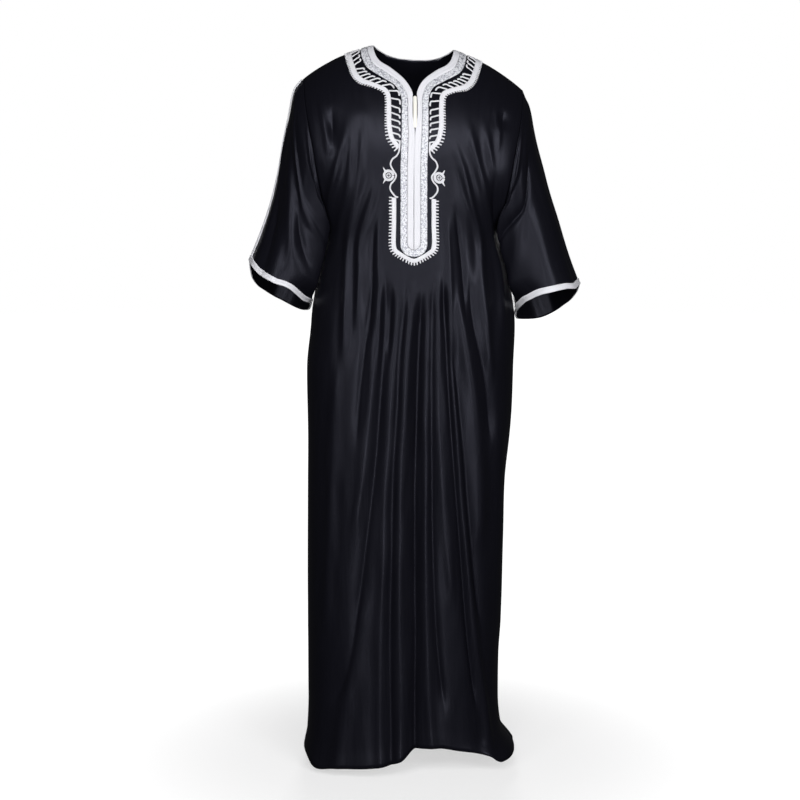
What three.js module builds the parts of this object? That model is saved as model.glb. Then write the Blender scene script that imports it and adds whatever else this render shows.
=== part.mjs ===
// Ankle-length satin robe with a braided, corded neck, as it hangs when worn.
// X runs to the wearer's left, Y to the back, Z up. The origin lies midway between
// the two places at the neck where the shoulders carry the robe. Millimetres.
import * as THREE from "three";

// Cloth and seams
const clothWall = 2;
const seamGap = 0.3;
const armholeGap = 0.6;
const trimLift = 0.6;
const trimWall = 1.2;
const cordWall = 2;

// Body of the robe
const shoulderHalf = 220;
const neckHalf = 80;
const chestLevel = -230;
const underarmLevel = -360;
const armholeDepth = 85;
const sectionPower = 2.3;
const armholeSpread = 16;
const hemHalf = 232;

// Side view of the shoulder: a small roll at the ridge, then a wide arc to the chest
const profileForward = 130;
const rollRadius = 55;
const rollAngle = Math.PI / 4;
const rollForward = rollRadius * Math.sin(rollAngle);
const rollDrop = rollRadius * (1 - Math.cos(rollAngle));
const chestRadius = (profileForward - rollForward) / (1 - Math.sin(rollAngle));
const profileDrop = rollDrop + chestRadius * Math.cos(rollAngle);
const profileLength = rollRadius * rollAngle + chestRadius * (Math.PI / 2 - rollAngle);

// The wearer's left shoulder stands lower: drop for each millimetre sideways
const leanSlope = 0.055;

// Neck, front band and borders, measured along the cloth from the shoulder ridge
const braidWidth = 14;
const bandCentre = 2.7;
const bandDrift = 2.4;
const combTooth = 4;
const combBand = 8;
const combStep = 3;
const ladderPitch = 5;
const ladderHook = 3;
const ladderSlant = 3;
const vineWidth = 3.6;
const rosetteRadius = 11;
const rosetteLeaf = 0.55;
const cuffBandWidth = 12;
const sleeveCordWidth = 2.8;
const sleeveCordLift = 0.8;

const satin = { color: 0x1c1b21, roughness: 0.4, metalness: 0 };
const whiteBraid = { color: 0xebebef, roughness: 0.6, metalness: 0 };
const silverBraid = { color: 0xdcdde4, roughness: 0.5, metalness: 0.2 };
const whiteCord = { color: 0xf0f0f2, roughness: 0.7, metalness: 0 };
const zipIvory = { color: 0xe9e2cf, roughness: 0.5, metalness: 0 };

// Level sections of the body tube: half width, reach to the front and to the back,
// and how far the middle hangs to one side
const sections = [
  { level: 0, half: 220, front: 130, back: 105, shift: 0 },
  { level: -66, half: 220, front: 130, back: 105, shift: 0 },
  { level: -230, half: 196, front: 130, back: 108, shift: 0 },
  { level: -360, half: 174, front: 133, back: 104, shift: 0 },
  { level: -450, half: 184, front: 137, back: 102, shift: 0 },
  { level: -545, half: 207, front: 142, back: 104, shift: 0 },
  { level: -640, half: 212, front: 146, back: 110, shift: -6 },
  { level: -760, half: 209, front: 148, back: 116, shift: -8 },
  { level: -880, half: 204, front: 149, back: 120, shift: -14 },
  { level: -1140, half: 201, front: 151, back: 127, shift: -19 },
  { level: -1330, half: 199, front: 155, back: 131, shift: -20 },
  { level: -1400, half: 204, front: 159, back: 133, shift: -18 },
  { level: -1440, half: 221, front: 164, back: 135, shift: -8 },
  { level: -1466, half: 232, front: 168, back: 136, shift: -4 },
];

// Shoulder ridge, from the neck to the armhole
const ridge = [
  { x: 0, level: 0 },
  { x: 80, level: 0 },
  { x: 110, level: -9 },
  { x: 144, level: -22 },
  { x: 172, level: -37 },
  { x: 200, level: -55 },
  { x: 220, level: -70 },
];

// Neck edge, from the middle out to the ridge: distance along the cloth from the ridge
const neckFront = [
  { x: 0, along: 146 },
  { x: 3, along: 143 },
  { x: 16, along: 112 },
  { x: 44, along: 84 },
  { x: 67, along: 66 },
  { x: 77, along: 40 },
  { x: 80, along: 0 },
];
const neckBack = [
  { x: 0, along: 45 },
  { x: 50, along: 38 },
  { x: 74, along: 16 },
  { x: 80, along: 0 },
];

// Lower edges of the two panels
const hemFront = [
  { x: -240, level: -1438 },
  { x: -190, level: -1446 },
  { x: -148, level: -1462 },
  { x: -110, level: -1454 },
  { x: -47, level: -1447 },
  { x: -12, level: -1434 },
  { x: 18, level: -1408 },
  { x: 50, level: -1407 },
  { x: 82, level: -1415 },
  { x: 115, level: -1425 },
  { x: 150, level: -1449 },
  { x: 240, level: -1438 },
];
const hemBack = [
  { x: -240, level: -1438 },
  { x: -130, level: -1450 },
  { x: 0, level: -1441 },
  { x: 120, level: -1452 },
  { x: 240, level: -1438 },
];

// Folds: a line through three points down the panel, its rise and its half width
const foldsFront = [
  { x0: 3, z0: -450, x1: -24, z1: -770, x2: -27, z2: -1460, rise: 9, half: 21 },
  { x0: -32, z0: -440, x1: -52, z1: -800, x2: -66, z2: -1460, rise: 5, half: 15 },
  { x0: 31, z0: -450, x1: 24, z1: -860, x2: 50, z2: -1440, rise: 5, half: 15 },
  { x0: -68, z0: -450, x1: -93, z1: -770, x2: -140, z2: -1120, rise: 6, half: 18 },
  { x0: -98, z0: -180, x1: -131, z1: -500, x2: -176, z2: -1190, rise: 7, half: 20 },
  { x0: 54, z0: -470, x1: 67, z1: -777, x2: 103, z2: -1290, rise: 5, half: 16 },
  { x0: 66, z0: -450, x1: 98, z1: -900, x2: 160, z2: -1440, rise: 9, half: 19 },
  { x0: 87, z0: -470, x1: 124, z1: -720, x2: 136, z2: -1000, rise: 5, half: 17 },
  { x0: -104, z0: -1080, x1: -124, z1: -1260, x2: -166, z2: -1450, rise: 8, half: 20 },
  { x0: 74, z0: -165, x1: 112, z1: -345, x2: 168, z2: -600, rise: 7, half: 17 },
  { x0: 122, z0: -130, x1: 157, z1: -320, x2: 172, z2: -470, rise: 6, half: 14 },
  { x0: -124, z0: -120, x1: -152, z1: -270, x2: -172, z2: -460, rise: 6, half: 14 },
];
const foldsBack = [
  { x0: -96, z0: -200, x1: -120, z1: -620, x2: -150, z2: -1460, rise: 8, half: 21 },
  { x0: -52, z0: -330, x1: -66, z1: -800, x2: -92, z2: -1460, rise: 7, half: 19 },
  { x0: -14, z0: -260, x1: -22, z1: -700, x2: -30, z2: -1460, rise: 8, half: 20 },
  { x0: 34, z0: -360, x1: 30, z1: -820, x2: 22, z2: -1460, rise: 6, half: 17 },
  { x0: 70, z0: -240, x1: 82, z1: -760, x2: 80, z2: -1460, rise: 9, half: 20 },
  { x0: 112, z0: -180, x1: 136, z1: -600, x2: 142, z2: -1300, rise: 7, half: 20 },
  { x0: 150, z0: -420, x1: 168, z1: -760, x2: 176, z2: -1180, rise: 6, half: 17 },
  { x0: -150, z0: -300, x1: -172, z1: -700, x2: -184, z2: -1200, rise: 6, half: 17 },
];

// Half width of the stiff embroidered field, which has no folds
const fieldEdge = [
  { level: 0, half: 150 },
  { level: -60, half: 145 },
  { level: -120, half: 72 },
  { level: -210, half: 68 },
  { level: -300, half: 56 },
  { level: -440, half: 50 },
  { level: -475, half: 0 },
  { level: -1500, half: 0 },
];

// Over-arm and under-arm lines of a sleeve, and its half depth, from armhole to cuff
const sleeveLines = [
  { t: 0, overX: 220, overZ: -70, underX: 174, underZ: -360, front: 85, back: 85 },
  { t: 0.12, overX: 240, overZ: -98, underX: 180, underZ: -378, front: 86, back: 87 },
  { t: 0.27, overX: 251, overZ: -150, underX: 186, underZ: -400, front: 87, back: 89 },
  { t: 0.42, overX: 263, overZ: -208, underX: 191, underZ: -422, front: 88, back: 90 },
  { t: 0.57, overX: 275, overZ: -266, underX: 196, underZ: -446, front: 89, back: 92 },
  { t: 0.72, overX: 290, overZ: -322, underX: 200, underZ: -470, front: 90, back: 94 },
  { t: 0.86, overX: 309, overZ: -376, underX: 204, underZ: -492, front: 91, back: 95 },
  { t: 1, overX: 335, overZ: -438, underX: 208, underZ: -513, front: 92, back: 96 },
];
const cuffBackDrop = 40;
const cuffPinch = 1.25;
const bodyClearance = 8;

// Folds of a sleeve, fanning from the shoulder: turn is degrees from the over-arm,
// forward as plus
const sleeveFolds = [
  { t0: 0.08, turn0: 62, t1: 0.6, turn1: 88, rise: 7, half: 15 },
  { t0: 0.15, turn0: 34, t1: 0.98, turn1: 66, rise: 6, half: 16 },
  { t0: 0.1, turn0: 105, t1: 0.7, turn1: 128, rise: 6, half: 15 },
  { t0: 0.2, turn0: -48, t1: 1.02, turn1: -70, rise: 7, half: 18 },
  { t0: 0.1, turn0: -92, t1: 0.85, turn1: -112, rise: 6, half: 16 },
];

// Galloon outside the braid: inner and outer edge of the whole neck band, half of it,
// from the middle of the back to the point of the front band
const neckBand = [
  { inX: 0, inW: -45, outX: 0, outW: -70 },
  { inX: 34, inW: -42.5, outX: 40, outW: -67 },
  { inX: 60, inW: -32, outX: 74, outW: -54 },
  { inX: 76, inW: -14, outX: 98, outW: -26 },
  { inX: 80, inW: 10, outX: 105, outW: 8 },
  { inX: 78, inW: 40, outX: 103, outW: 47 },
  { inX: 68, inW: 64, outX: 90, outW: 84 },
  { inX: 45, inW: 83, outX: 62, outW: 107 },
  { inX: 17, inW: 112, outX: 38, outW: 124.5 },
  { inX: 4, inW: 140, outX: 28, outW: 146 },
  { inX: 3, inW: 176, outX: 26.2, outW: 176 },
  { inX: 2.6, inW: 210, outX: 26.2, outW: 210 },
  { inX: 0.4, inW: 226, outX: 26.2, outW: 226 },
  { inX: 0.4, inW: 340, outX: 26.2, outW: 340 },
  { inX: 0.4, inW: 467, outX: 25.6, outW: 448 },
];

// Border with ladder bars: the side towards the braid and the tips of the comb
const borderLine = [
  { inX: 108, inW: 3, tipX: 139, tipW: 3 },
  { inX: 106.5, inW: 36, tipX: 136.5, tipW: 33 },
  { inX: 102, inW: 63, tipX: 131, tipW: 63 },
  { inX: 94.5, inW: 87, tipX: 122, tipW: 95 },
  { inX: 84, inW: 101.5, tipX: 108, tipW: 116.5 },
  { inX: 70, inW: 109.5, tipX: 91, tipW: 129 },
  { inX: 56, inW: 116.5, tipX: 74, tipW: 137 },
  { inX: 43, inW: 124.5, tipX: 65, tipW: 142 },
  { inX: 33, inW: 134, tipX: 61, tipW: 150 },
  { inX: 29, inW: 148, tipX: 60, tipW: 160 },
  { inX: 28.4, inW: 183, tipX: 60, tipW: 186 },
  { inX: 28.4, inW: 212, tipX: 59.8, tipW: 218 },
  { inX: 28.8, inW: 232, tipX: 56.5, tipW: 239 },
  { inX: 29.4, inW: 246, tipX: 47, tipW: 253 },
  { inX: 29.6, inW: 254, tipX: 37.5, tipW: 266 },
];
const borderBackLine = [
  { inX: -130, inW: -2, tipX: -139, tipW: 0 },
  { inX: -112, inW: -54, tipX: -119, tipW: -60 },
  { inX: -66, inW: -87, tipX: -70, tipW: -96 },
  { inX: 0, inW: -94, tipX: 0, tipW: -103 },
  { inX: 66, inW: -87, tipX: 70, tipW: -96 },
  { inX: 112, inW: -54, tipX: 119, tipW: -60 },
  { inX: 130, inW: -2, tipX: 139, tipW: 0 },
];

// Lower border round the point of the front band, from its end to its lowest point
const lowerLine = [
  { inX: -34.3, inW: 352, tipX: -49, tipW: 352 },
  { inX: -34.3, inW: 400, tipX: -49, tipW: 400 },
  { inX: -34.3, inW: 446, tipX: -49, tipW: 449 },
  { inX: -31, inW: 453, tipX: -44.5, tipW: 459.5 },
  { inX: -13, inW: 465.4, tipX: -17, tipW: 478 },
  { inX: 0, inW: 470.5, tipX: 0, tipW: 484.5 },
];
const wholeLowerLine = [...lowerLine, ...lowerLine.slice(0, -1).reverse()
  .map((row) => ({ ...row, inX: -row.inX, tipX: -row.tipX }))];

// Curved cord from the upper border to the lower one, and the rosette that it carries
const vineLine = [
  { x: 34.5, along: 272.5 },
  { x: 42.5, along: 278.3 },
  { x: 46, along: 288 },
  { x: 41.5, along: 298.3 },
  { x: 35, along: 309 },
  { x: 38.2, along: 318.4 },
  { x: 45.3, along: 326.8 },
  { x: 46.5, along: 335.3 },
  { x: 42.5, along: 344.4 },
  { x: 39.5, along: 347.8 },
];
const rosetteCentre = { x: 49.8, along: 309.6 };

// ---- helpers ---------------------------------------------------------------------

const clamp01 = (v) => Math.min(1, Math.max(0, v));
const smooth = (from, to, v) => {
  const f = clamp01((v - from) / (to - from));
  return f * f * (3 - 2 * f);
};
const mix = (a, b, f) => a + (b - a) * f;

// Smooth curve through column `want` of a table, by column `by`, which only rises or falls
function lookUp(rows, by, want, at) {
  const rising = rows[rows.length - 1][by] > rows[0][by];
  const order = rising ? rows : [...rows].reverse();
  const last = order.length - 2;
  let i = 0;
  while (i < last && at > order[i + 1][by]) i += 1;
  const slopeOf = (k) => {
    const j = Math.min(Math.max(k, 0), last);
    return (order[j + 1][want] - order[j][want]) / (order[j + 1][by] - order[j][by]);
  };
  const slopeAt = (k) => {
    const before = slopeOf(k - 1);
    const after = slopeOf(k);
    return before * after <= 0 ? 0 : (2 * before * after) / (before + after);
  };
  const span = order[i + 1][by] - order[i][by];
  const f = clamp01((at - order[i][by]) / span);
  const f2 = f * f;
  const f3 = f2 * f;
  return (2 * f3 - 3 * f2 + 1) * order[i][want] + (f3 - 2 * f2 + f) * span * slopeAt(i)
    + (3 * f2 - 2 * f3) * order[i + 1][want] + (f3 - f2) * span * slopeAt(i + 1);
}

// Smooth curve through the rows of a table, from 0 at its first row to 1 at its last
function follow(rows, names, f) {
  const curve = new THREE.CatmullRomCurve3(
    rows.map((row) => new THREE.Vector3(row[names[0]], row[names[1]], 0)), false, "centripetal");
  return curve.getPoint(f);
}

// Even run along such a curve: its length, and the place at a share of that length
function evenRun(rows, names) {
  const samples = 400;
  const places = [{ f: 0, run: 0 }];
  let before = follow(rows, names, 0);
  for (let k = 1; k <= samples; k += 1) {
    const point = follow(rows, names, k / samples);
    places.push({ f: k / samples, run: places[k - 1].run + point.distanceTo(before) });
    before = point;
  }
  const length = places[samples].run;
  return { length, at: (share) => lookUp(places, "run", "f", share * length) };
}

// Middle of the front band, which swings a little to the wearer's left
const bandMiddle = (along) => bandCentre * smooth(100, 160, along)
  - bandDrift * smooth(210, 300, along);

// An odd number of equal steps, so that a comb begins and ends with a tooth
const oddSteps = (length, step) => 2 * Math.round(length / step / 2) + 1;

// ---- shape of the body -----------------------------------------------------------

function shoulderProfile(q) {
  if (q < rollRadius * rollAngle) {
    const turn = q / rollRadius;
    return { forward: rollRadius * Math.sin(turn), drop: rollRadius * (1 - Math.cos(turn)) };
  }
  const turn = rollAngle + (q - rollRadius * rollAngle) / chestRadius;
  return {
    forward: rollForward + chestRadius * (Math.sin(turn) - Math.sin(rollAngle)),
    drop: rollDrop + chestRadius * (Math.cos(rollAngle) - Math.cos(turn)),
  };
}

// Reach of the armhole edge to the front or back, level by level
function armholeReach(level) {
  if (level <= underarmLevel) return 0;
  const f = clamp01((chestLevel - level) / (chestLevel - underarmLevel));
  return armholeDepth * Math.sqrt(1 - f * f);
}

// Share of the middle's reach at a place across the body
function roundShare(lateral) {
  return (1 - Math.min(1, Math.abs(lateral)) ** sectionPower) ** (1 / sectionPower);
}

// Near the middle the cloth hangs softly from the armhole, at the edge it follows it
function sectionReach(side, lateral, level) {
  const round = roundShare(lateral);
  const soft = armholeDepth * smooth(underarmLevel - 60, chestLevel, level);
  const edge = mix(soft, armholeReach(level), Math.abs(lateral) ** armholeSpread);
  return lookUp(sections, "level", side, level) * round + edge * (1 - round);
}

function columnAt(side, lateral) {
  const top = lookUp(ridge, "x", "level", Math.abs(lateral) * shoulderHalf);
  const fall = top - chestLevel;
  const reach = sectionReach(side, lateral, chestLevel);
  const scale = (reach / profileForward + fall / profileDrop) / 2;
  return { top, fall, reach, scale, length: scale * profileLength };
}

// Level of the cloth at a distance along it from the ridge, plus in front, minus behind
function levelAlong(lateral, along) {
  const column = columnAt(along < 0 ? "back" : "front", lateral);
  const q = Math.abs(along);
  if (q >= column.length) return chestLevel - (q - column.length);
  return column.top - column.fall * shoulderProfile(q / column.scale).drop / profileDrop;
}

function bodyPoint(lateral, along) {
  const side = along < 0 ? "back" : "front";
  const column = columnAt(side, lateral);
  const q = Math.abs(along);
  const level = levelAlong(lateral, along);
  const reach = q < column.length
    ? column.reach * shoulderProfile(q / column.scale).forward / profileForward
    : sectionReach(side, lateral, level);
  const x = lookUp(sections, "level", "shift", level)
    + lateral * lookUp(sections, "level", "half", level);
  return new THREE.Vector3(x, side === "back" ? reach : -reach, level);
}

// The same surface by its x and the distance along the cloth
function bodyPointAtX(x, along) {
  let lateral = x / shoulderHalf;
  for (let pass = 0; pass < 4; pass += 1) {
    const level = levelAlong(lateral, along);
    lateral = (x - lookUp(sections, "level", "shift", level))
      / lookUp(sections, "level", "half", level);
  }
  return bodyPoint(lateral, along);
}

// A point that stands a little off the body surface, for the trims
function offBody(x, along, lift) {
  const step = 1.5;
  const across = bodyPointAtX(x + step, along).sub(bodyPointAtX(x - step, along));
  const down = bodyPointAtX(x, along + step).sub(bodyPointAtX(x, along - step));
  const normal = down.cross(across).normalize();
  return bodyPointAtX(x, along).addScaledVector(normal, lift);
}

// Whole-garment lean: the shoulders tilt, the skirt hangs plumb
function lean(point) {
  const plumb = (1 - smooth(-450, -200, point.z)) * (1 - smooth(205, 300, Math.abs(point.x)));
  point.z -= leanSlope * point.x * (1 - plumb);
  return point;
}

function foldRise(folds, x, level) {
  let rise = 0;
  for (const fold of folds) {
    const line = [
      { x: fold.x0, z: fold.z0 },
      { x: fold.x1, z: fold.z1 },
      { x: fold.x2, z: fold.z2 },
    ];
    const start = smooth(fold.z0 + 30, fold.z0 - 120, level);
    const end = fold.z2 < -1430 ? 1 : smooth(fold.z2 - 30, fold.z2 + 150, level);
    const away = Math.abs(x - lookUp(line, "z", "x", level)) / fold.half;
    rise += fold.rise * start * end * (Math.exp(-away * away) - 0.3);
  }
  return rise;
}

// ---- walls -----------------------------------------------------------------------

// A closed wall from a grid of outer and inner points. Cells that are not filled are
// left open, with walls at their edges.
function wall(outer, inner, { wrap = false, filled = () => true } = {}) {
  const columns = outer.length;
  const rows = outer[0].length;
  const cellColumns = wrap ? columns : columns - 1;
  const index = (i, j, layer) => ((i % columns) * rows + j) * 2 + layer;
  const open = (i, j) => {
    if (j < 0 || j >= rows - 1) return true;
    if (!wrap && (i < 0 || i >= cellColumns)) return true;
    return !filled((i + cellColumns) % cellColumns, j);
  };
  const positions = [];
  for (let i = 0; i < columns; i += 1) {
    for (let j = 0; j < rows; j += 1) {
      positions.push(...outer[i][j].toArray(), ...inner[i][j].toArray());
    }
  }
  const faces = [];
  const quad = (a, b, c, d) => faces.push(a, b, c, a, c, d);
  const side = (i0, j0, i1, j1) => {
    quad(index(i1, j1, 0), index(i0, j0, 0), index(i0, j0, 1), index(i1, j1, 1));
  };
  for (let i = 0; i < cellColumns; i += 1) {
    for (let j = 0; j < rows - 1; j += 1) {
      if (!open(i, j)) {
        quad(index(i, j, 0), index(i + 1, j, 0), index(i + 1, j + 1, 0), index(i, j + 1, 0));
        quad(index(i, j, 1), index(i, j + 1, 1), index(i + 1, j + 1, 1), index(i + 1, j, 1));
        if (open(i, j - 1)) side(i, j, i + 1, j);
        if (open(i + 1, j)) side(i + 1, j, i + 1, j + 1);
        if (open(i, j + 1)) side(i + 1, j + 1, i, j + 1);
        if (open(i - 1, j)) side(i, j + 1, i, j);
      }
    }
  }
  return closedBody(positions, faces);
}

// Keeps the points in use and turns the faces outwards
function closedBody(positions, faces) {
  const renumber = new Map();
  const kept = [];
  const indices = faces.map((old) => {
    if (!renumber.has(old)) {
      renumber.set(old, kept.length / 3);
      kept.push(positions[old * 3], positions[old * 3 + 1], positions[old * 3 + 2]);
    }
    return renumber.get(old);
  });
  const corner = (k) => new THREE.Vector3(kept[k * 3], kept[k * 3 + 1], kept[k * 3 + 2]);
  let volume = 0;
  for (let k = 0; k < indices.length; k += 3) {
    const b = corner(indices[k + 1]);
    volume += corner(indices[k]).dot(b.cross(corner(indices[k + 2])));
  }
  if (volume < 0) indices.reverse();
  const geometry = new THREE.BufferGeometry();
  geometry.setAttribute("position", new THREE.Float32BufferAttribute(kept, 3));
  geometry.setIndex(indices);
  geometry.computeVertexNormals();
  return geometry;
}

// Unit normals of a grid of points, by the neighbours of each
function gridNormals(points, wrap) {
  const columns = points.length;
  const rows = points[0].length;
  return points.map((column, i) => column.map((point, j) => {
    const before = wrap ? (i + columns - 1) % columns : Math.max(i - 1, 0);
    const after = wrap ? (i + 1) % columns : Math.min(i + 1, columns - 1);
    const across = points[after][j].clone().sub(points[before][j]);
    const down = column[Math.min(j + 1, rows - 1)].clone().sub(column[Math.max(j - 1, 0)]);
    return down.cross(across).normalize();
  }));
}

function offset(points, normals, distance) {
  return points.map((column, i) => column.map(
    (point, j) => point.clone().addScaledVector(normals[i][j], distance)));
}

const robe = new THREE.Group();

function add(name, geometry, finish) {
  const mesh = new THREE.Mesh(geometry, new THREE.MeshStandardMaterial(finish));
  mesh.name = name;
  robe.add(mesh);
}

// ---- front and back --------------------------------------------------------------

const columnCounts = { front: { neck: 8, shoulder: 12 }, back: { neck: 7, shoulder: 10 } };
const upperRows = [0, 0.07, 0.16, 0.28, 0.45, 0.7];
const levelRows = [-230, -275, -313, -342, -360, -400, -470, -560, -690, -850, -1030, -1210, -1350];
const hemRows = [0.6, 1];

// Column places from one side to the other, close over the neck and the shoulders
function columnPlaces({ neck, shoulder }) {
  const half = [];
  const neckPlace = neckHalf / shoulderHalf;
  for (let k = 0; k <= neck; k += 1) half.push(neckPlace * k / neck);
  for (let k = 1; k <= shoulder; k += 1) half.push(mix(neckPlace, 1, k / shoulder));
  const mirrored = half.slice(1).reverse().map((place) => -place);
  return [...mirrored, ...half];
}

function panel(side) {
  const sign = side === "back" ? -1 : 1;
  const neck = side === "back" ? neckBack : neckFront;
  const hem = side === "back" ? hemBack : hemFront;
  const folds = side === "back" ? foldsBack : foldsFront;
  const lowest = levelRows[levelRows.length - 1];
  const hidden = 2;
  const plain = columnPlaces(columnCounts[side]).map((place) => {
    const column = columnAt(side, place);
    const x = Math.abs(place) * shoulderHalf;
    const start = x < neckHalf
      ? Math.max(lookUp(neck, "x", "along", x) + hidden, seamGap / 2) : seamGap / 2;
    const points = upperRows.map(
      (row) => bodyPoint(place, sign * mix(start, column.length, row)));
    const hemLevel = lookUp(hem, "x", "level", place * hemHalf);
    const levels = [...levelRows, ...hemRows.map((row) => mix(lowest, hemLevel, row))];
    for (const level of levels) {
      const wide = Math.sin(place * Math.PI / 2);
      const lateral = mix(place, wide, smooth(chestLevel, underarmLevel, level));
      const along = column.length + chestLevel - level;
      const point = bodyPoint(lateral, sign * (along + columnAt(side, lateral).length
        - column.length));
      point.y -= sign * seamGap / 2;
      points.push(point);
    }
    return points;
  });
  const normals = gridNormals(plain, false);
  const draped = plain.map((column, i) => column.map((point, j) => {
    const field = side === "front" ? lookUp(fieldEdge, "level", "half", point.z) : 0;
    const collar = side === "back" ? smooth(-60, -190, point.z) : 1;
    const free = smooth(field, field + 26, Math.abs(point.x)) * collar;
    const seam = smooth(0, 3, Math.min(i, plain.length - 1 - i));
    const outward = normals[i][j].clone().multiplyScalar(sign);
    return point.clone().addScaledVector(
      outward, foldRise(folds, point.x, point.z) * free * seam);
  }));
  const seamPlane = (i, j) => j === 0 || i === 0 || i === plain.length - 1;
  const drapedNormals = gridNormals(draped, false).map((column, i) => column.map(
    (normal, j) => (seamPlane(i, j) ? normal.setY(0).normalize() : normal)));
  const inner = offset(draped, drapedNormals, -sign * clothWall);
  const leaned = (grid) => grid.map((column) => column.map(lean));
  return wall(leaned(draped), leaned(inner));
}

add("front", panel("front"), satin);
add("back", panel("back"), satin);

// ---- sleeves ---------------------------------------------------------------------

// Half width of the body tube at a height and depth, which a sleeve stays clear of
function bodyHalfAt(y, level) {
  const side = y > 0 ? "back" : "front";
  const half = lookUp(sections, "level", "half", level);
  let lateral = 1;
  while (lateral > 0 && sectionReach(side, lateral, level) < Math.abs(y)) lateral -= 0.01;
  return half * lateral;
}

// Outer surface of a sleeve: t from armhole to cuff, turn in degrees from the over-arm,
// plus to the front; hand is 1 for the wearer's left
function sleevePoint(hand, t, turn) {
  const read = (name) => lookUp(sleeveLines, "t", name, t);
  const angle = THREE.MathUtils.degToRad(turn);
  const upShare = (1 + Math.cos(angle)) / 2;
  const bulge = Math.abs(Math.sin(angle)) ** mix(1, cuffPinch, smooth(0.3, 1, t));
  const rear = turn < 0;
  const point = new THREE.Vector3(
    mix(read("underX"), read("overX"), upShare),
    rear ? read("back") * bulge : -read("front") * bulge,
    mix(read("underZ"), read("overZ"), upShare));
  if (rear) point.z -= cuffBackDrop * bulge * smooth(0.2, 1, t);

  // the first ring is the armhole edge of the body
  const edgeLength = columnAt("front", 1).length + chestLevel - underarmLevel;
  const edge = bodyPoint(1, (rear ? -1 : 1) * edgeLength * Math.abs(turn) / 180);
  const start = new THREE.Vector3(
    mix(174, 220, upShare), (rear ? 85 : -85) * Math.abs(Math.sin(angle)),
    mix(-360, -70, upShare));
  point.add(edge.sub(start).multiplyScalar((1 - smooth(0, 0.5, t))));

  const clear = armholeGap + bodyClearance * smooth(0, 0.35, t);
  point.x = Math.max(point.x + armholeGap, bodyHalfAt(point.y, point.z) + clear);
  for (const fold of sleeveFolds) {
    const f = (t - fold.t0) / (fold.t1 - fold.t0);
    const away = (turn - mix(fold.turn0, fold.turn1, f)) / fold.half;
    const share = smooth(0, 0.25, f) * (fold.t1 > 0.95 ? 1 : smooth(1.1, 0.75, f));
    const rise = fold.rise * share * Math.exp(-away * away);
    point.y += (rear ? 1 : -1) * rise * Math.abs(Math.sin(angle));
    point.x += rise * Math.cos(angle);
  }
  point.x *= hand;
  return point;
}

const ringSteps = 28;
const sleeveRows = [0, 0.07, 0.16, 0.27, 0.39, 0.51, 0.63, 0.74, 0.84, 0.93, 1];

function sleeveGrid(hand, rowsAt) {
  const grid = [];
  for (let k = 0; k < ringSteps; k += 1) {
    const turn = -180 + 360 * k / ringSteps;
    grid.push(rowsAt(turn).map((t) => sleevePoint(hand, t, turn)));
  }
  return grid;
}

function sleeve(hand) {
  const outer = sleeveGrid(hand, () => sleeveRows);
  const normals = gridNormals(outer, true);
  const inner = outer.map((column, i) => column.map((point, j) => {
    const normal = normals[i][j].clone();
    if (j === 0) normal.setX(0).normalize();
    return point.clone().addScaledVector(normal, hand * clothWall);
  }));
  const tilt = (grid) => grid.map((column) => column.map(lean));
  return wall(tilt(outer), tilt(inner), { wrap: true });
}

// A band of even width along the cuff, with one more row above it for the normals
function cuffBand(hand) {
  const probe = 0.05;
  const rowsAt = (turn) => {
    const run = sleevePoint(hand, 1 - probe, turn).distanceTo(sleevePoint(hand, 1, turn));
    const share = probe * cuffBandWidth / run;
    return [1 - 2 * share, 1 - share, 1];
  };
  const fine = sleeveGrid(hand, rowsAt);
  const normals = gridNormals(fine, true);
  const layer = (height) => offset(fine, normals, -hand * height)
    .map((column) => column.slice(1).map(lean));
  return wall(layer(trimLift + trimWall), layer(trimLift), { wrap: true });
}

// Cord down the over-arm, `turn` degrees from its line
function sleeveCord(hand, turns) {
  const steps = 16;
  const layers = [sleeveCordLift + cordWall, sleeveCordLift].map((height) => {
    const grid = [];
    for (let k = 0; k <= steps; k += 1) {
      const t = mix(0.03, 0.965, k / steps);
      const turn = mix(turns.start, turns.end, k / steps);
      const centre = sleevePoint(hand, t, turn);
      const across = sleevePoint(hand, t, turn + 2).sub(sleevePoint(hand, t, turn - 2));
      const down = sleevePoint(hand, t + 0.01, turn).sub(sleevePoint(hand, t - 0.01, turn));
      const normal = down.clone().cross(across).normalize().multiplyScalar(-hand);
      across.normalize();
      grid.push([-0.5, 0.5].map((share) => lean(centre.clone()
        .addScaledVector(across, share * sleeveCordWidth)
        .addScaledVector(normal, height))));
    }
    return grid;
  });
  return wall(layers[0], layers[1]);
}

const hands = [
  { name: "right", hand: -1, cords: [{ start: 3, end: 2 }, { start: 11, end: 11 }] },
  { name: "left", hand: 1, cords: [{ start: -7, end: -7 }, { start: -15, end: -16 }] },
];
for (const { name, hand, cords } of hands) {
  add(`sleeve_${name}`, sleeve(hand), satin);
  add(`cuff_band_${name}`, cuffBand(hand), whiteBraid);
  cords.forEach((turns, k) => {
    add(`sleeve_cord_${name}_${k + 1}`, sleeveCord(hand, turns), whiteCord);
  });
}

// ---- neck and front band ---------------------------------------------------------

// A strip on the body: `at` gives x and along for a place along and across the strip
function strip(stepsAlong, shares, at, thickness, filled) {
  const layers = [trimLift + thickness, trimLift].map((height) => {
    const grid = [];
    for (let k = 0; k <= stepsAlong; k += 1) {
      grid.push(shares.map((share) => {
        const place = at(k / stepsAlong, share);
        return lean(offBody(place.x, place.along, height));
      }));
    }
    return grid;
  });
  return wall(layers[0], layers[1], { filled });
}

// The neck band from one point of the front band round the back of the neck to the other
const bandRun = evenRun(neckBand, ["outX", "outW"]);

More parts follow.
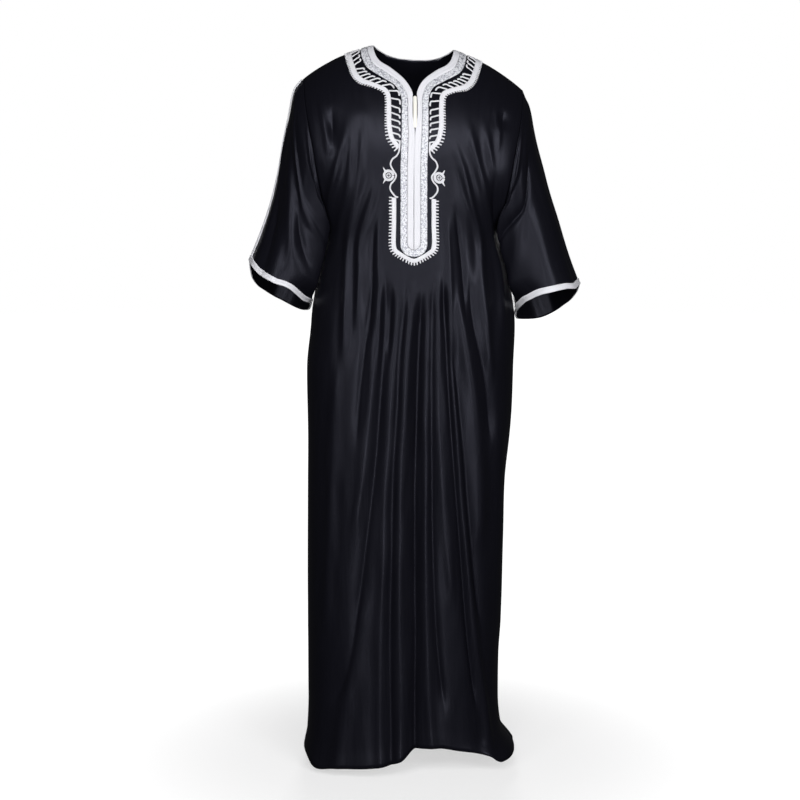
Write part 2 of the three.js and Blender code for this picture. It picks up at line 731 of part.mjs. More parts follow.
function neckBandPlace(f, share) {
  const hand = f < 0.5 ? -1 : 1;
  const half = bandRun.at(Math.abs(2 * f - 1));
  const inEdge = follow(neckBand, ["inX", "inW"], half);
  const outEdge = follow(neckBand, ["outX", "outW"], half);
  const x = hand * mix(inEdge.x, outEdge.x, share);
  return { x: x + bandMiddle(inEdge.y), along: mix(inEdge.y, outEdge.y, share) };
}

const bandSteps = 100;
const bandWidth = 25;
const braidShare = braidWidth / bandWidth;
const gapShare = seamGap / bandWidth;
add("braid", strip(bandSteps, [0, braidShare], neckBandPlace, trimWall + 0.6), whiteBraid);
add("galloon", strip(bandSteps, [braidShare + gapShare, 1], neckBandPlace, trimWall),
  silverBraid);

function zipPlace(f, share) {
  const along = mix(148, 214, f);
  return { x: bandMiddle(along) + mix(-1, 1, share) * 1.5, along };
}
add("zip", strip(8, [0, 1], zipPlace, 1), zipIvory);

// ---- corded borders --------------------------------------------------------------

// Across a border: 0 at the tips of the teeth, then the comb's back, then the bars, whose
// length counts as ten units whatever it is
const combDepth = combTooth + combBand;
const barUnits = 10;
const hookUnits = 2;
const plainEndSteps = 14;

function borderPlace(rows, run, hand) {
  return (share, depth) => {
    const f = run.at(share);
    const tip = follow(rows, ["tipX", "tipW"], f);
    const inside = follow(rows, ["inX", "inW"], f);
    const reach = tip.distanceTo(inside);
    const d = depth <= combDepth ? depth : mix(combDepth, reach, (depth - combDepth) / barUnits);
    const slant = ladderSlant * combStep
      * clamp01((depth - combDepth) / (barUnits - hookUnits));
    const along = new THREE.Vector2(inside.x - tip.x, inside.y - tip.y).normalize();
    const point = {
      x: tip.x + along.x * d,
      along: tip.y + along.y * d + slant * smooth(20, 110, tip.y),
    };
    return { x: hand * point.x + bandMiddle(tip.y), along: point.along };
  };
}

function borderSide(hand) {
  const run = evenRun(borderLine, ["tipX", "tipW"]);
  const steps = oddSteps(run.length, combStep);
  const depths = [0, combTooth, combDepth, combDepth + barUnits - hookUnits,
    combDepth + barUnits];
  const lastBar = steps - plainEndSteps;
  const filled = (i, j) => {
    if (j === 0) return i % 2 === 0;
    if (j === 1) return true;
    if (i >= lastBar) return false;
    const inPitch = i % ladderPitch;
    return j === 2 ? inPitch === 1 : inPitch >= 1 && inPitch < 1 + ladderHook - 1;
  };
  return strip(steps, depths, borderPlace(borderLine, run, hand), trimWall, filled);
}

function borderBack() {
  const at = (f, share) => {
    const inside = follow(borderBackLine, ["inX", "inW"], f);
    const tip = follow(borderBackLine, ["tipX", "tipW"], f);
    return { x: mix(inside.x, tip.x, share), along: mix(inside.y, tip.y, share) };
  };
  return strip(24, [0, 1], at, trimWall);
}

function borderLower() {
  const run = evenRun(wholeLowerLine, ["tipX", "tipW"]);
  const at = (share, depth) => {
    const f = run.at(share);
    const tip = follow(wholeLowerLine, ["tipX", "tipW"], f);
    const inside = follow(wholeLowerLine, ["inX", "inW"], f);
    return {
      x: mix(tip.x, inside.x, depth) + bandMiddle(tip.y),
      along: mix(tip.y, inside.y, depth),
    };
  };
  const filled = (i, j) => j === 1 || i % 2 === 0;
  return strip(oddSteps(run.length, combStep), [0, 0.48, 1], at, trimWall, filled);
}

function vine(hand) {
  const at = (f, share) => {
    const point = follow(vineLine, ["x", "along"], f);
    const ahead = follow(vineLine, ["x", "along"], Math.min(1, f + 0.01));
    const behind = follow(vineLine, ["x", "along"], Math.max(0, f - 0.01));
    const run = ahead.sub(behind).normalize();
    const aside = (share - 0.5) * vineWidth;
    return {
      x: hand * (point.x - run.y * aside) + bandMiddle(point.y),
      along: point.y + run.x * aside,
    };
  };
  return strip(26, [0, 1], at, cordWall);
}

// Rosette: a ring with four petals inside and two leaf tips on its outer side
function rosette(hand) {
  const turns = 32;
  const radii = [0, 0.34, 0.62, 1];
  const at = (f, share) => {
    const angle = 2 * Math.PI * f;
    const leaf = Math.exp(-(((Math.cos(angle - Math.PI / 4)) - 1) ** 2) * 60)
      + Math.exp(-(((Math.cos(angle + Math.PI / 4)) - 1) ** 2) * 60);
    const radius = rosetteRadius * (share + (share === 1 ? rosetteLeaf * leaf : 0));
    return {
      x: hand * (rosetteCentre.x + radius * Math.cos(angle)) + bandMiddle(rosetteCentre.along),
      along: rosetteCentre.along + radius * Math.sin(angle),
    };
  };
  const filled = (i, j) => j !== 1 || i % 8 === 0 || i % 8 === 7;
  return ringStrip(turns, radii.slice(1), at, filled);
}

// A closed ring on the body, with its inner part open where `filled` says so
function ringStrip(turns, shares, at, filled) {
  const layers = [trimLift + trimWall, trimLift].map((height) => {
    const grid = [];
    for (let k = 0; k < turns; k += 1) {
      grid.push(shares.map((share) => {
        const place = at(k / turns, share);
        return lean(offBody(place.x, place.along, height));
      }));
    }
    return grid;
  });
  return wall(layers[0], layers[1], { wrap: true, filled: (i, j) => filled(i, j + 1) });
}

for (const { name, hand } of hands) {
  add(`border_${name}`, borderSide(hand), whiteCord);
  add(`vine_${name}`, vine(hand), whiteCord);
  add(`rosette_${name}`, rosette(hand), whiteCord);
}
add("border_back", borderBack(), whiteCord);
add("border_lower", borderLower(), whiteCord);

export default robe;
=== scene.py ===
import math

import bpy
import numpy as np
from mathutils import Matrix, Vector


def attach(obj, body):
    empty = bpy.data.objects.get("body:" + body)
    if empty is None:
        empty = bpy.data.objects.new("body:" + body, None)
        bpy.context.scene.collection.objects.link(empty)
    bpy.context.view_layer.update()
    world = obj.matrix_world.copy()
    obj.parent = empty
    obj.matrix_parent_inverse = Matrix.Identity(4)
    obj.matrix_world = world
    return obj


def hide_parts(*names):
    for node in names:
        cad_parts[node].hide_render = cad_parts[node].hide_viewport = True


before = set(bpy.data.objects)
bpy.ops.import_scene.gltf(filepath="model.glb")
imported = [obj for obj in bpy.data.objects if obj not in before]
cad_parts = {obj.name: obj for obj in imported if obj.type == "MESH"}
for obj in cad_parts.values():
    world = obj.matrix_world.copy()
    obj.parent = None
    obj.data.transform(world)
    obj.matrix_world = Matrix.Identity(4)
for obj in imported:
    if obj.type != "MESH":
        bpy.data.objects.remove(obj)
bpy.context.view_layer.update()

print("frame loaded:", len(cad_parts), "nodes")

toMetres = 0.001  # the pattern is drafted in millimetres

# The robe's driving sizes. X runs to the wearer's left, Y to the back, Z up.
robe = {
    "shoulderHalf": 220, "neckHalf": 80, "chestLevel": -230, "underarmLevel": -360,
    "armholeDepth": 85, "sectionPower": 2.3, "armholeSpread": 16,
    "skirtFlatness": 0.5, "flatFade": (-400, -560),   # a flatter section, between these levels
    "profileForward": 130, "rollRadius": 55, "rollAngle": math.pi / 4,
    "leanSlope": 0.055,   # the left shoulder stands lower
    "leanFade": (-450, -200), "sleeveLean": (205, 300),   # levels, and distances from the middle
    "seamFill": 10, "seamEase": 0.02,   # the cloth stays full where chest and sleeve meet
    "clothThickness": 1.0, "seamGap": 0.3,
    # the front band swings to the wearer's left and back, in mm along the cloth
    "bandCentre": 2.7, "bandOut": (100, 160), "bandDrift": 2.4, "bandBack": (210, 300),
}


def table(names, *rows):
    return dict(zip(names.split(), np.array(rows, float).T))


# Level sections of the body: half width, reach to the front and the back, sideways shift
sections = table(
    "level half front back shift",
    (0, 220, 130, 105, 0), (-66, 220, 130, 105, 0), (-230, 196, 130, 108, 0),
    (-360, 176, 133, 104, 0), (-450, 194, 137, 102, 0), (-545, 208, 142, 104, 0),
    (-640, 212, 146, 110, -6), (-760, 209, 148, 116, -8), (-880, 204, 149, 120, -14),
    (-1140, 201, 151, 127, -19), (-1330, 199, 155, 131, -20), (-1400, 204, 159, 133, -18),
    (-1440, 221, 164, 135, -8), (-1466, 232, 168, 136, -4))
ridge = table("x level", (0, 0), (80, 0), (110, -9), (144, -22), (172, -37), (200, -55), (220, -70))

# Neck edge: distance along the cloth from the shoulder ridge
neckEdges = {
    "front": table("x along", (0, 146), (3, 143), (16, 112), (44, 84), (67, 66), (77, 40), (80, 0)),
    "back": table("x along", (0, 45), (50, 38), (74, 16), (80, 0)),
}
hemEdges = {
    "front": table(
        "x level", (-240, -1438), (-190, -1446), (-148, -1462), (-110, -1454), (-47, -1447),
        (-12, -1434), (18, -1408), (50, -1407), (82, -1415), (115, -1425), (150, -1449),
        (240, -1438)),
    "back": table(
        "x level", (-240, -1438), (-130, -1450), (0, -1441), (120, -1452), (240, -1438)),
}


def smooth(low, high, value):
    share = np.clip((value - low) / (high - low), 0, 1)
    return share * share * (3 - 2 * share)


def mix(a, b, share):
    return a + (b - a) * share


def bandMiddle(along):
    return (robe["bandCentre"] * smooth(*robe["bandOut"], along)
            - robe["bandDrift"] * smooth(*robe["bandBack"], along))


# Smooth curve through column `want` of a table by column `by`, without overshoot
def lookUp(rows, by, want, at):
    x, y = rows[by], rows[want]
    if x[0] > x[-1]:
        x, y = x[::-1], y[::-1]
    slope = np.diff(y) / np.diff(x)
    before, after = np.append(slope[0], slope), np.append(slope, slope[-1])
    product = before * after
    tangent = np.where(product > 0, 2 * product / np.where(product > 0, before + after, 1), 0)
    i = np.clip(np.searchsorted(x, at) - 1, 0, len(x) - 2)
    span = x[i + 1] - x[i]
    f = np.clip((at - x[i]) / span, 0, 1)
    return ((2 * f**3 - 3 * f**2 + 1) * y[i] + (f**3 - 2 * f**2 + f) * span * tangent[i]
            + (3 * f**2 - 2 * f**3) * y[i + 1] + (f**3 - f**2) * span * tangent[i + 1])


curveSteps = {"band": 900, "cord": 600}   # points that a curve is measured by


# Rounded curve through points, share 0 to 1
def throughPoints(points, share):
    points = np.array(points, float)
    last = len(points) - 1
    padded = np.vstack([2 * points[0] - points[1], points, 2 * points[-1] - points[-2]])
    place = np.clip(share, 0, 1) * last
    i = np.minimum(place.astype(int), last - 1)
    w = (place - i)[:, None]
    p0, p1, p2, p3 = padded[i], padded[i + 1], padded[i + 2], padded[i + 3]
    gap = lambda a, b: np.sqrt(np.linalg.norm(b - a, axis=1))[:, None] + 1e-9
    d0, d1, d2 = gap(p0, p1), gap(p1, p2), gap(p2, p3)
    t1 = ((p1 - p0) / d0 - (p2 - p0) / (d0 + d1) + (p2 - p1) / d1) * d1
    t2 = ((p2 - p1) / d1 - (p3 - p1) / (d1 + d2) + (p3 - p2) / d2) * d1
    return ((2 * w**3 - 3 * w**2 + 1) * p1 + (w**3 - 2 * w**2 + w) * t1
            + (3 * w**2 - 2 * w**3) * p2 + (w**3 - w**2) * t2)


def runLength(points):
    steps = np.linalg.norm(np.diff(points, axis=0), axis=1)
    return np.append(0, np.cumsum(steps))


# Points at even steps along a rounded curve, and the curve's length
def evenPoints(points, step):
    fine = throughPoints(points, np.linspace(0, 1, curveSteps["cord"]))
    run = runLength(fine)
    count = max(3, int(round(run[-1] / step)) + 1)
    at = np.linspace(0, run[-1], count)
    return np.stack([np.interp(at, run, fine[:, k]) for k in range(2)], 1)


# Seeded soft noise over a plane, about -1 to 1, smooth between random knots one unit apart
def softNoise(u, v, seed):
    knots = np.random.default_rng(seed).uniform(-1, 1, (96, 96))
    i, j = np.floor(u).astype(int), np.floor(v).astype(int)
    fu, fv = smooth(0, 1, u - i), smooth(0, 1, v - j)
    at = lambda a, b: knots[a % 96, b % 96]
    return mix(mix(at(i, j), at(i + 1, j), fu), mix(at(i, j + 1), at(i + 1, j + 1), fu), fv)


# The shoulder's side view is two arcs
rollForward = robe["rollRadius"] * math.sin(robe["rollAngle"])
rollDrop = robe["rollRadius"] * (1 - math.cos(robe["rollAngle"]))
chestRadius = (robe["profileForward"] - rollForward) / (1 - math.sin(robe["rollAngle"]))
profileDrop = rollDrop + chestRadius * math.cos(robe["rollAngle"])
rollLength = robe["rollRadius"] * robe["rollAngle"]
profileLength = rollLength + chestRadius * (math.pi / 2 - robe["rollAngle"])


# A small roll over the shoulder, then a wide arc to the chest
def shoulderProfile(q):
    turn = q / robe["rollRadius"]
    wide = robe["rollAngle"] + (q - rollLength) / chestRadius
    onRoll = q < rollLength
    forward = np.where(onRoll, robe["rollRadius"] * np.sin(turn),
                       rollForward + chestRadius * (np.sin(wide) - math.sin(robe["rollAngle"])))
    drop = np.where(onRoll, robe["rollRadius"] * (1 - np.cos(turn)),
                    rollDrop + chestRadius * (math.cos(robe["rollAngle"]) - np.cos(wide)))
    return forward, drop


# A value of the body's level sections: half, front, back or shift
def sectionAt(name, level):
    return lookUp(sections, "level", name, level)


def armholeReach(level):
    f = np.clip((robe["chestLevel"] - level) / (robe["chestLevel"] - robe["underarmLevel"]), 0, 1)
    return robe["armholeDepth"] * np.sqrt(1 - f * f)


def sectionReach(side, lateral, level):
    power = robe["sectionPower"] + robe["skirtFlatness"] * smooth(*robe["flatFade"], level)
    above = smooth(robe["underarmLevel"] + 8, robe["chestLevel"] - 30, level)
    size = np.minimum(1, np.abs(lateral)) * (1 - robe["seamEase"] * above)
    rounded = (1 - size**power)**(1 / power)
    soft = robe["armholeDepth"] * smooth(robe["underarmLevel"] - 60, robe["chestLevel"], level)
    edge = mix(soft, armholeReach(level), size**robe["armholeSpread"]) + robe["seamFill"] * above
    return sectionAt(side, level) * rounded + edge * (1 - rounded)


def columnAt(side, lateral):
    top = lookUp(ridge, "x", "level", np.abs(lateral) * robe["shoulderHalf"])
    fall = top - robe["chestLevel"]
    reach = sectionReach(side, lateral, robe["chestLevel"] + 0 * lateral)
    scale = (reach / robe["profileForward"] + fall / profileDrop) / 2
    return top, fall, reach, scale, scale * profileLength


# Height of the cloth at a distance q along it from the shoulder ridge
def levelAlong(side, lateral, q):
    top, fall, reach, scale, length = columnAt(side, lateral)
    upper = top - fall * shoulderProfile(np.minimum(q, length) / scale)[1] / profileDrop
    return np.where(q < length, upper, robe["chestLevel"] - (q - length))


def sidePoint(side, lateral, q):
    top, fall, reach, scale, length = columnAt(side, lateral)
    level = levelAlong(side, lateral, q)
    onTop = reach * shoulderProfile(np.minimum(q, length) / scale)[0] / robe["profileForward"]
    y = np.where(q < length, onTop, sectionReach(side, lateral, level))
    x = sectionAt("shift", level) + lateral * sectionAt("half", level)
    return np.stack([x, y if side == "back" else -y, level], -1)


# The plain body surface by its x and the distance along the cloth, minus behind the ridge
def bodyAt(x, along):
    found = {}
    for side in ("front", "back"):
        lateral = x / robe["shoulderHalf"]
        for step in range(4):
            level = levelAlong(side, lateral, np.abs(along))
            lateral = (x - sectionAt("shift", level)) / sectionAt("half", level)
        found[side] = sidePoint(side, lateral, np.abs(along))
    return np.where((along < 0)[..., None], found["back"], found["front"])


# Whole-garment lean: the shoulders tilt, the skirt hangs plumb
def lean(points):
    points = np.array(points)
    x, z = points[..., 0], points[..., 2]
    plumb = (1 - smooth(*robe["leanFade"], z)) * (1 - smooth(*robe["sleeveLean"], np.abs(x)))
    points[..., 2] = z - robe["leanSlope"] * x * (1 - plumb)
    return points


# Points on the body raised by `lift`, for everything that is sewn on
def onCloth(x, along, lift):
    x, along, lift = np.broadcast_arrays(*(np.asarray(v, float) for v in (x, along, lift)))
    step = 1.5
    across = bodyAt(x + step, along) - bodyAt(x - step, along)
    down = bodyAt(x, along + step) - bodyAt(x, along - step)
    normal = np.cross(down, across)
    normal /= np.linalg.norm(normal, axis=-1, keepdims=True)
    return lean(bodyAt(x, along) + normal * lift[..., None])


def gridNormals(points, wrap=False):
    if wrap:
        across = np.roll(points, -1, 0) - np.roll(points, 1, 0)
    else:
        across = np.gradient(points, axis=0)
    normal = np.cross(np.gradient(points, axis=1), across)
    return normal / np.linalg.norm(normal, axis=-1, keepdims=True)


# One object from grids of points [columns, rows, 3] in millimetres, in place of a CAD node.
# A grid may close on itself across (wrap) or round its rows (tube), and may have end caps.
# A cloth piece is a sheet that is given its thickness.
def makePiece(name, node, slotName, grids, thickness=0):
    points, faces, uvs, start = [], [], [], 0
    for grid in grids:
        p = grid["points"]
        columns, rows = p.shape[:2]
        i = np.arange(columns if grid.get("wrap") else columns - 1)[:, None]
        j = np.arange(rows if grid.get("tube") else rows - 1)[None, :]
        i1, j1 = (i + 1) % columns, (j + 1) % rows
        quad = np.stack([i * rows + j, i * rows + j1, i1 * rows + j1, i1 * rows + j], -1)
        u, v = grid["uv"]
        du, dv = grid.get("uvStep", (0, 0))
        uNext = np.where(i + 1 < columns, u[i1, j], u[i, j] + du)
        uBoth = np.where(i + 1 < columns, u[i1, j1], u[i, j1] + du)
        vNext = np.where(j + 1 < rows, v[i, j1], v[i, j] + dv)
        vBoth = np.where(j + 1 < rows, v[i1, j1], v[i1, j] + dv)
        corner = np.stack([
            np.stack([u[i, j], v[i, j]], -1), np.stack([u[i, j1], vNext], -1),
            np.stack([uBoth, vBoth], -1), np.stack([uNext, v[i1, j]], -1)], -2)
        if grid.get("flip"):
            quad, corner = quad[..., ::-1], corner[..., ::-1, :]
        faces += [tuple(f) for f in (quad.reshape(-1, 4) + start).tolist()]
        uvs.append(corner.reshape(-1, 2))
        if grid.get("caps"):
            for k, turn in ((0, 1), (columns - 1, -1)):
                ring = [start + k * rows + r for r in range(rows)][::turn]
                faces.append(tuple(ring[::-1] if grid.get("flip") else ring))
                uvs.append(np.zeros((rows, 2)))
        points.append(p.reshape(-1, 3))
        start += columns * rows
    mesh = bpy.data.meshes.new(name)
    mesh.from_pydata((np.vstack(points) * toMetres).tolist(), [], faces)
    layer = mesh.uv_layers.new(name="cloth")
    layer.data.foreach_set("uv", (np.vstack(uvs) * toMetres).astype(np.float32).ravel())
    mesh.polygons.foreach_set("use_smooth", [True] * len(mesh.polygons))
    mesh.materials.append(finishes[slotName])
    piece = bpy.data.objects.new(name, mesh)
    bpy.context.scene.collection.objects.link(piece)
    if thickness:
        solid = piece.modifiers.new("thickness", "SOLIDIFY")
        solid.thickness = thickness * toMetres
        solid.offset = -1
    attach(piece, "root")
    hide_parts(node)
    return piece


def hexColour(code):
    channels = [int(code[k:k + 2], 16) / 255 for k in (1, 3, 5)]
    linear = [c / 12.92 if c <= 0.04045 else ((c + 0.055) / 1.055)**2.4 for c in channels]
    return (*linear, 1)


# Adds a node. Its inputs, by name or number, are values or what they are linked from: a socket,
# or a node for its first output.
def addNode(tree, kind, sockets=None, **settings):
    node = tree.nodes.new("ShaderNode" + kind)
    for name, value in settings.items():
        setattr(node, name, value)
    for name, value in (sockets or {}).items():
        if isinstance(value, bpy.types.Node):
            value = value.outputs[0]
        if isinstance(value, bpy.types.NodeSocket):
            tree.links.new(value, node.inputs[name])
        else:
            node.inputs[name].default_value = value
    return node


def newMaterial(name):
    material = bpy.data.materials.new(name)
    material.use_nodes = True
    tree = material.node_tree
    tree.nodes.clear()
    return material, tree


# Place on the cloth in metres: the whole vector, then along and across
def clothPlace(tree):
    place = addNode(tree, "UVMap", uv_map="cloth")
    split = addNode(tree, "SeparateXYZ", {0: place})
    return place, split.outputs[0], split.outputs[1]


# Threads as a wave, `pitch` mm apart along the cloth and slanted across it
def threadWave(tree, along, across, slant, pitch):
    lay = addNode(tree, "Math", {0: across, 1: slant, 2: along}, operation="MULTIPLY_ADD")
    turns = addNode(tree, "Math", {0: lay, 1: 2 * math.pi * 1000 / pitch}, operation="MULTIPLY")
    return addNode(tree, "Math", {0: turns}, operation="SINE")


# The shader that the threads' colour and height end in
def finishThreads(tree, look, colour, height, more):
    bump = addNode(tree, "Bump", {
        "Height": height, "Strength": look["bump"], "Distance": look["threadHeight"] / 1000})
    shader = addNode(tree, "BsdfPrincipled", {
        "Base Color": colour, "Roughness": look["roughness"], "IOR": look["ior"],
        "Normal": bump, **more})
    addNode(tree, "OutputMaterial", {"Surface": shader})


satinLook = {
    "colour": "#101016", "shade": "#0a0a0f",
    "roughness": 0.36, "roughnessSpread": (-0.05, 0.06),   # from tight to loose threads
    "ior": 1.23,            # matched down from polyester's 1.57, so that the black stays deep
    "shine": "#e4e6ff",     # bluish cast of the highlights
    "floatPitch": 1.6,      # mm, satin floats drawn coarser than the real 0.2 mm so that they show
    "floatSlant": 0.4, "floatShare": 0.25,
    "slubLength": 90, "slubWidth": 2.2,   # mm, uneven threads that streak the shine
    "bump": 0.12, "threadHeight": 0.4,
}


def makeSatin():
    # polyester satin, woven with long floats: deep black with a soft, streaked shine
    material, tree = newMaterial("satin polyester")
    look = satinLook
    place, along, across = clothPlace(tree)
    streaks = addNode(tree, "Mapping", {
        "Vector": place, "Scale": (1000 / look["slubWidth"], 1000 / look["slubLength"], 1)})
    slub = addNode(tree, "TexNoise", {
        "Vector": streaks, "Scale": 1.0, "Detail": 3.0, "Roughness": 0.6})
    floats = threadWave(tree, along, across, look["floatSlant"], look["floatPitch"])
    height = addNode(tree, "Math", {0: floats, 1: look["floatShare"], 2: slub},
                     operation="MULTIPLY_ADD")
    colour = addNode(tree, "MixRGB", {
        "Fac": slub, "Color1": hexColour(look["shade"]), "Color2": hexColour(look["colour"])})
    tight, loose = (look["roughness"] + change for change in look["roughnessSpread"])
    rough = addNode(tree, "MapRange", {
        "Value": slub, "From Min": 0.3, "From Max": 0.7, "To Min": tight, "To Max": loose})
    finishThreads(tree, look, colour, height, {
        "Roughness": rough, "Specular Tint": hexColour(look["shine"])})
    return material


braidLook = {
    # shade is painted shade: the colour of the plait's low parts
    "colour": "#d9d9de", "shade": "#c9c9d1", "roughness": 0.5, "ior": 1.5, "sheen": 0.1,
    "plaitPitch": 3.0,      # mm, one crossing of the plait
    "plaitWidth": 7.0,      # mm, one of the two plaits side by side
    "plaitSlant": 1.2, "grainShare": 0.8,
    "bump": 0.5, "threadHeight": 0.3,
}


def makeBraid():
    # rayon braid, plaited flat: white with a soft gloss and V-shaped threads; the low parts of the
    # threads are painted darker, as shade
    material, tree = newMaterial("rayon braid")
    look = braidLook
    place, along, across = clothPlace(tree)
    fold = addNode(tree, "Math", {0: across, 1: look["plaitWidth"] / 2000}, operation="PINGPONG")
    thread = threadWave(tree, along, fold, look["plaitSlant"], look["plaitPitch"])
    grain = addNode(tree, "TexNoise", {"Vector": place, "Scale": 900.0, "Detail": 2.0})
    height = addNode(tree, "Math", {0: grain, 1: look["grainShare"], 2: thread},
                     operation="MULTIPLY_ADD")
    level = addNode(tree, "MapRange", {"Value": height, "From Min": -0.7, "From Max": 0.6})
    # painted shade: the lower the threads stand, the nearer their colour comes to the shade colour
    colour = addNode(tree, "MixRGB", {
        "Fac": level, "Color1": hexColour(look["shade"]), "Color2": hexColour(look["colour"])})
    finishThreads(tree, look, colour, height, {"Sheen Weight": look["sheen"]})
    return material


galloonLook = {
    # shade is painted shade: the colour at the edges of the loops
    "colour": "#d6d7dc", "silver": "#94969f", "shade": "#a1a2ab", "roughness": 0.5, "ior": 1.5,
    "fleckSize": 2.2,       # mm, loops of silver thread between the white ones
    "silverShare": 0.84,    # loops above this share of the random grey are silver
    "silverMetal": 0.7,
    "holePitch": 9.2, "holeSize": 0.9, "holeAt": 1.2,   # mm, small dark dots along the braid, painted as the shade in hollows
    # the colour of those dots, painted as the shade in hollows
    "hollowShadeColour": "#3a3a40",
    "bump": 0.5, "threadHeight": 0.8,
}


def makeGalloon():
    # galloon of white rayon and silver foil thread: speckled, with small bright and dark loops; the
    # edges of the loops are painted darker, as the shade between them
    material, tree = newMaterial("silver thread galloon")
    look = galloonLook
    place, along, across = clothPlace(tree)
    flecks = addNode(tree, "TexVoronoi", {
        "Vector": place, "Scale": 1000 / look["fleckSize"], "Randomness": 0.9})
    grey = addNode(tree, "SeparateColor", {0: flecks.outputs["Color"]})
    pick = addNode(tree, "Math", {0: grey, 1: look["silverShare"]}, operation="GREATER_THAN")
    # painted shade: darker towards the edge of each loop, where the loops meet and the cloth sinks
    rim = addNode(tree, "MapRange", {
        "Value": flecks.outputs["Distance"], "From Min": 0.45, "From Max": 0.75})
    fromHole = addNode(tree, "Math", {0: along, 1: look["holePitch"] / 2000},
                       operation="PINGPONG")
    aside = addNode(tree, "Math", {0: across, 1: look["holeAt"] / 1000}, operation="SUBTRACT")
    spot = addNode(tree, "CombineXYZ", {0: fromHole, 1: aside})
    away = addNode(tree, "VectorMath", {0: spot}, operation="LENGTH")
    # painted shade: small dark dots where the hollows would be in shade
    hollowShade = addNode(tree, "MapRange", {
        "Value": away.outputs["Value"], "From Min": look["holeSize"] / 2000,
        "From Max": look["holeSize"] / 1000, "To Min": 1.0, "To Max": 0.0})
    colour = hexColour(look["colour"])
    # the silver flecks are the thread's own colour; the loop edges and the dots are painted shade
    for share, name in ((pick, "silver"), (rim, "shade"), (hollowShade, "hollowShadeColour")):
        colour = addNode(tree, "MixRGB", {
            "Fac": share, "Color1": colour, "Color2": hexColour(look[name])})
    metal = addNode(tree, "Math", {0: pick, 1: look["silverMetal"]}, operation="MULTIPLY")
    height = addNode(tree, "Math", {0: flecks.outputs["Distance"], 1: -1.0},
                     operation="MULTIPLY")
    finishThreads(tree, look, colour, height, {"Metallic": metal})
    return material


cordLook = {
    # shade is painted shade: the colour at the bottom of the grooves
    "colour": "#e4e4e8", "shade": "#b3b3bc", "roughness": 0.6, "ior": 1.5, "sheen": 0.1,
    "twistPitch": 2.2, "twistSlant": 0.8,   # mm, one turn of the twisted strands
    "bump": 0.6, "threadHeight": 0.3,
}


def makeCord():
    # cotton cord, twisted from two strands: matt white with slanting grooves, whose bottoms are
    # painted darker, as shade
    material, tree = newMaterial("cotton cord")
    look = cordLook
    along, across = clothPlace(tree)[1:]
    strand = threadWave(tree, along, across, look["twistSlant"], look["twistPitch"])
    # painted shade: the grooves between the strands are darker
    level = addNode(tree, "MapRange", {"Value": strand, "From Min": -1.0, "From Max": -0.2})
    colour = addNode(tree, "MixRGB", {
        "Fac": level, "Color1": hexColour(look["shade"]), "Color2": hexColour(look["colour"])})
    finishThreads(tree, look, colour, strand, {"Sheen Weight": look["sheen"]})
    return material


zipLook = {
    # shade is painted shade: the colour of the gaps between the coil's turns
    "colour": "#e9e7e0", "shade": "#d8d5cb", "roughness": 0.4, "ior": 1.53,
    "toothPitch": 1.6,      # mm, one turn of the coil
}


def makeZip():
    # nylon zip, moulded as a coil: ivory, slightly glossy, fine ribs across, painted as lighter
    # tops and darker shaded gaps between the coil's turns
    material, tree = newMaterial("nylon coil")
    look = zipLook
    along, across = clothPlace(tree)[1:]
    tooth = threadWave(tree, along, across, 0, look["toothPitch"])
    # painted light and shade: the tops of the turns are lighter and the gaps between them darker
    level = addNode(tree, "MapRange", {"Value": tooth, "From Min": -1.0})
    colour = addNode(tree, "MixRGB", {
        "Fac": level, "Color1": hexColour(look["shade"]), "Color2": hexColour(look["colour"])})
    shader = addNode(tree, "BsdfPrincipled", {
        "Base Color": colour, "Roughness": look["roughness"], "IOR": look["ior"]})
    addNode(tree, "OutputMaterial", {"Surface": shader})
    return material


# By material slot
finishes = {"satin": makeSatin(), "braid": makeBraid(), "galloon": makeGalloon(),
            "cord": makeCord(), "zip": makeZip()}
print("materials made")

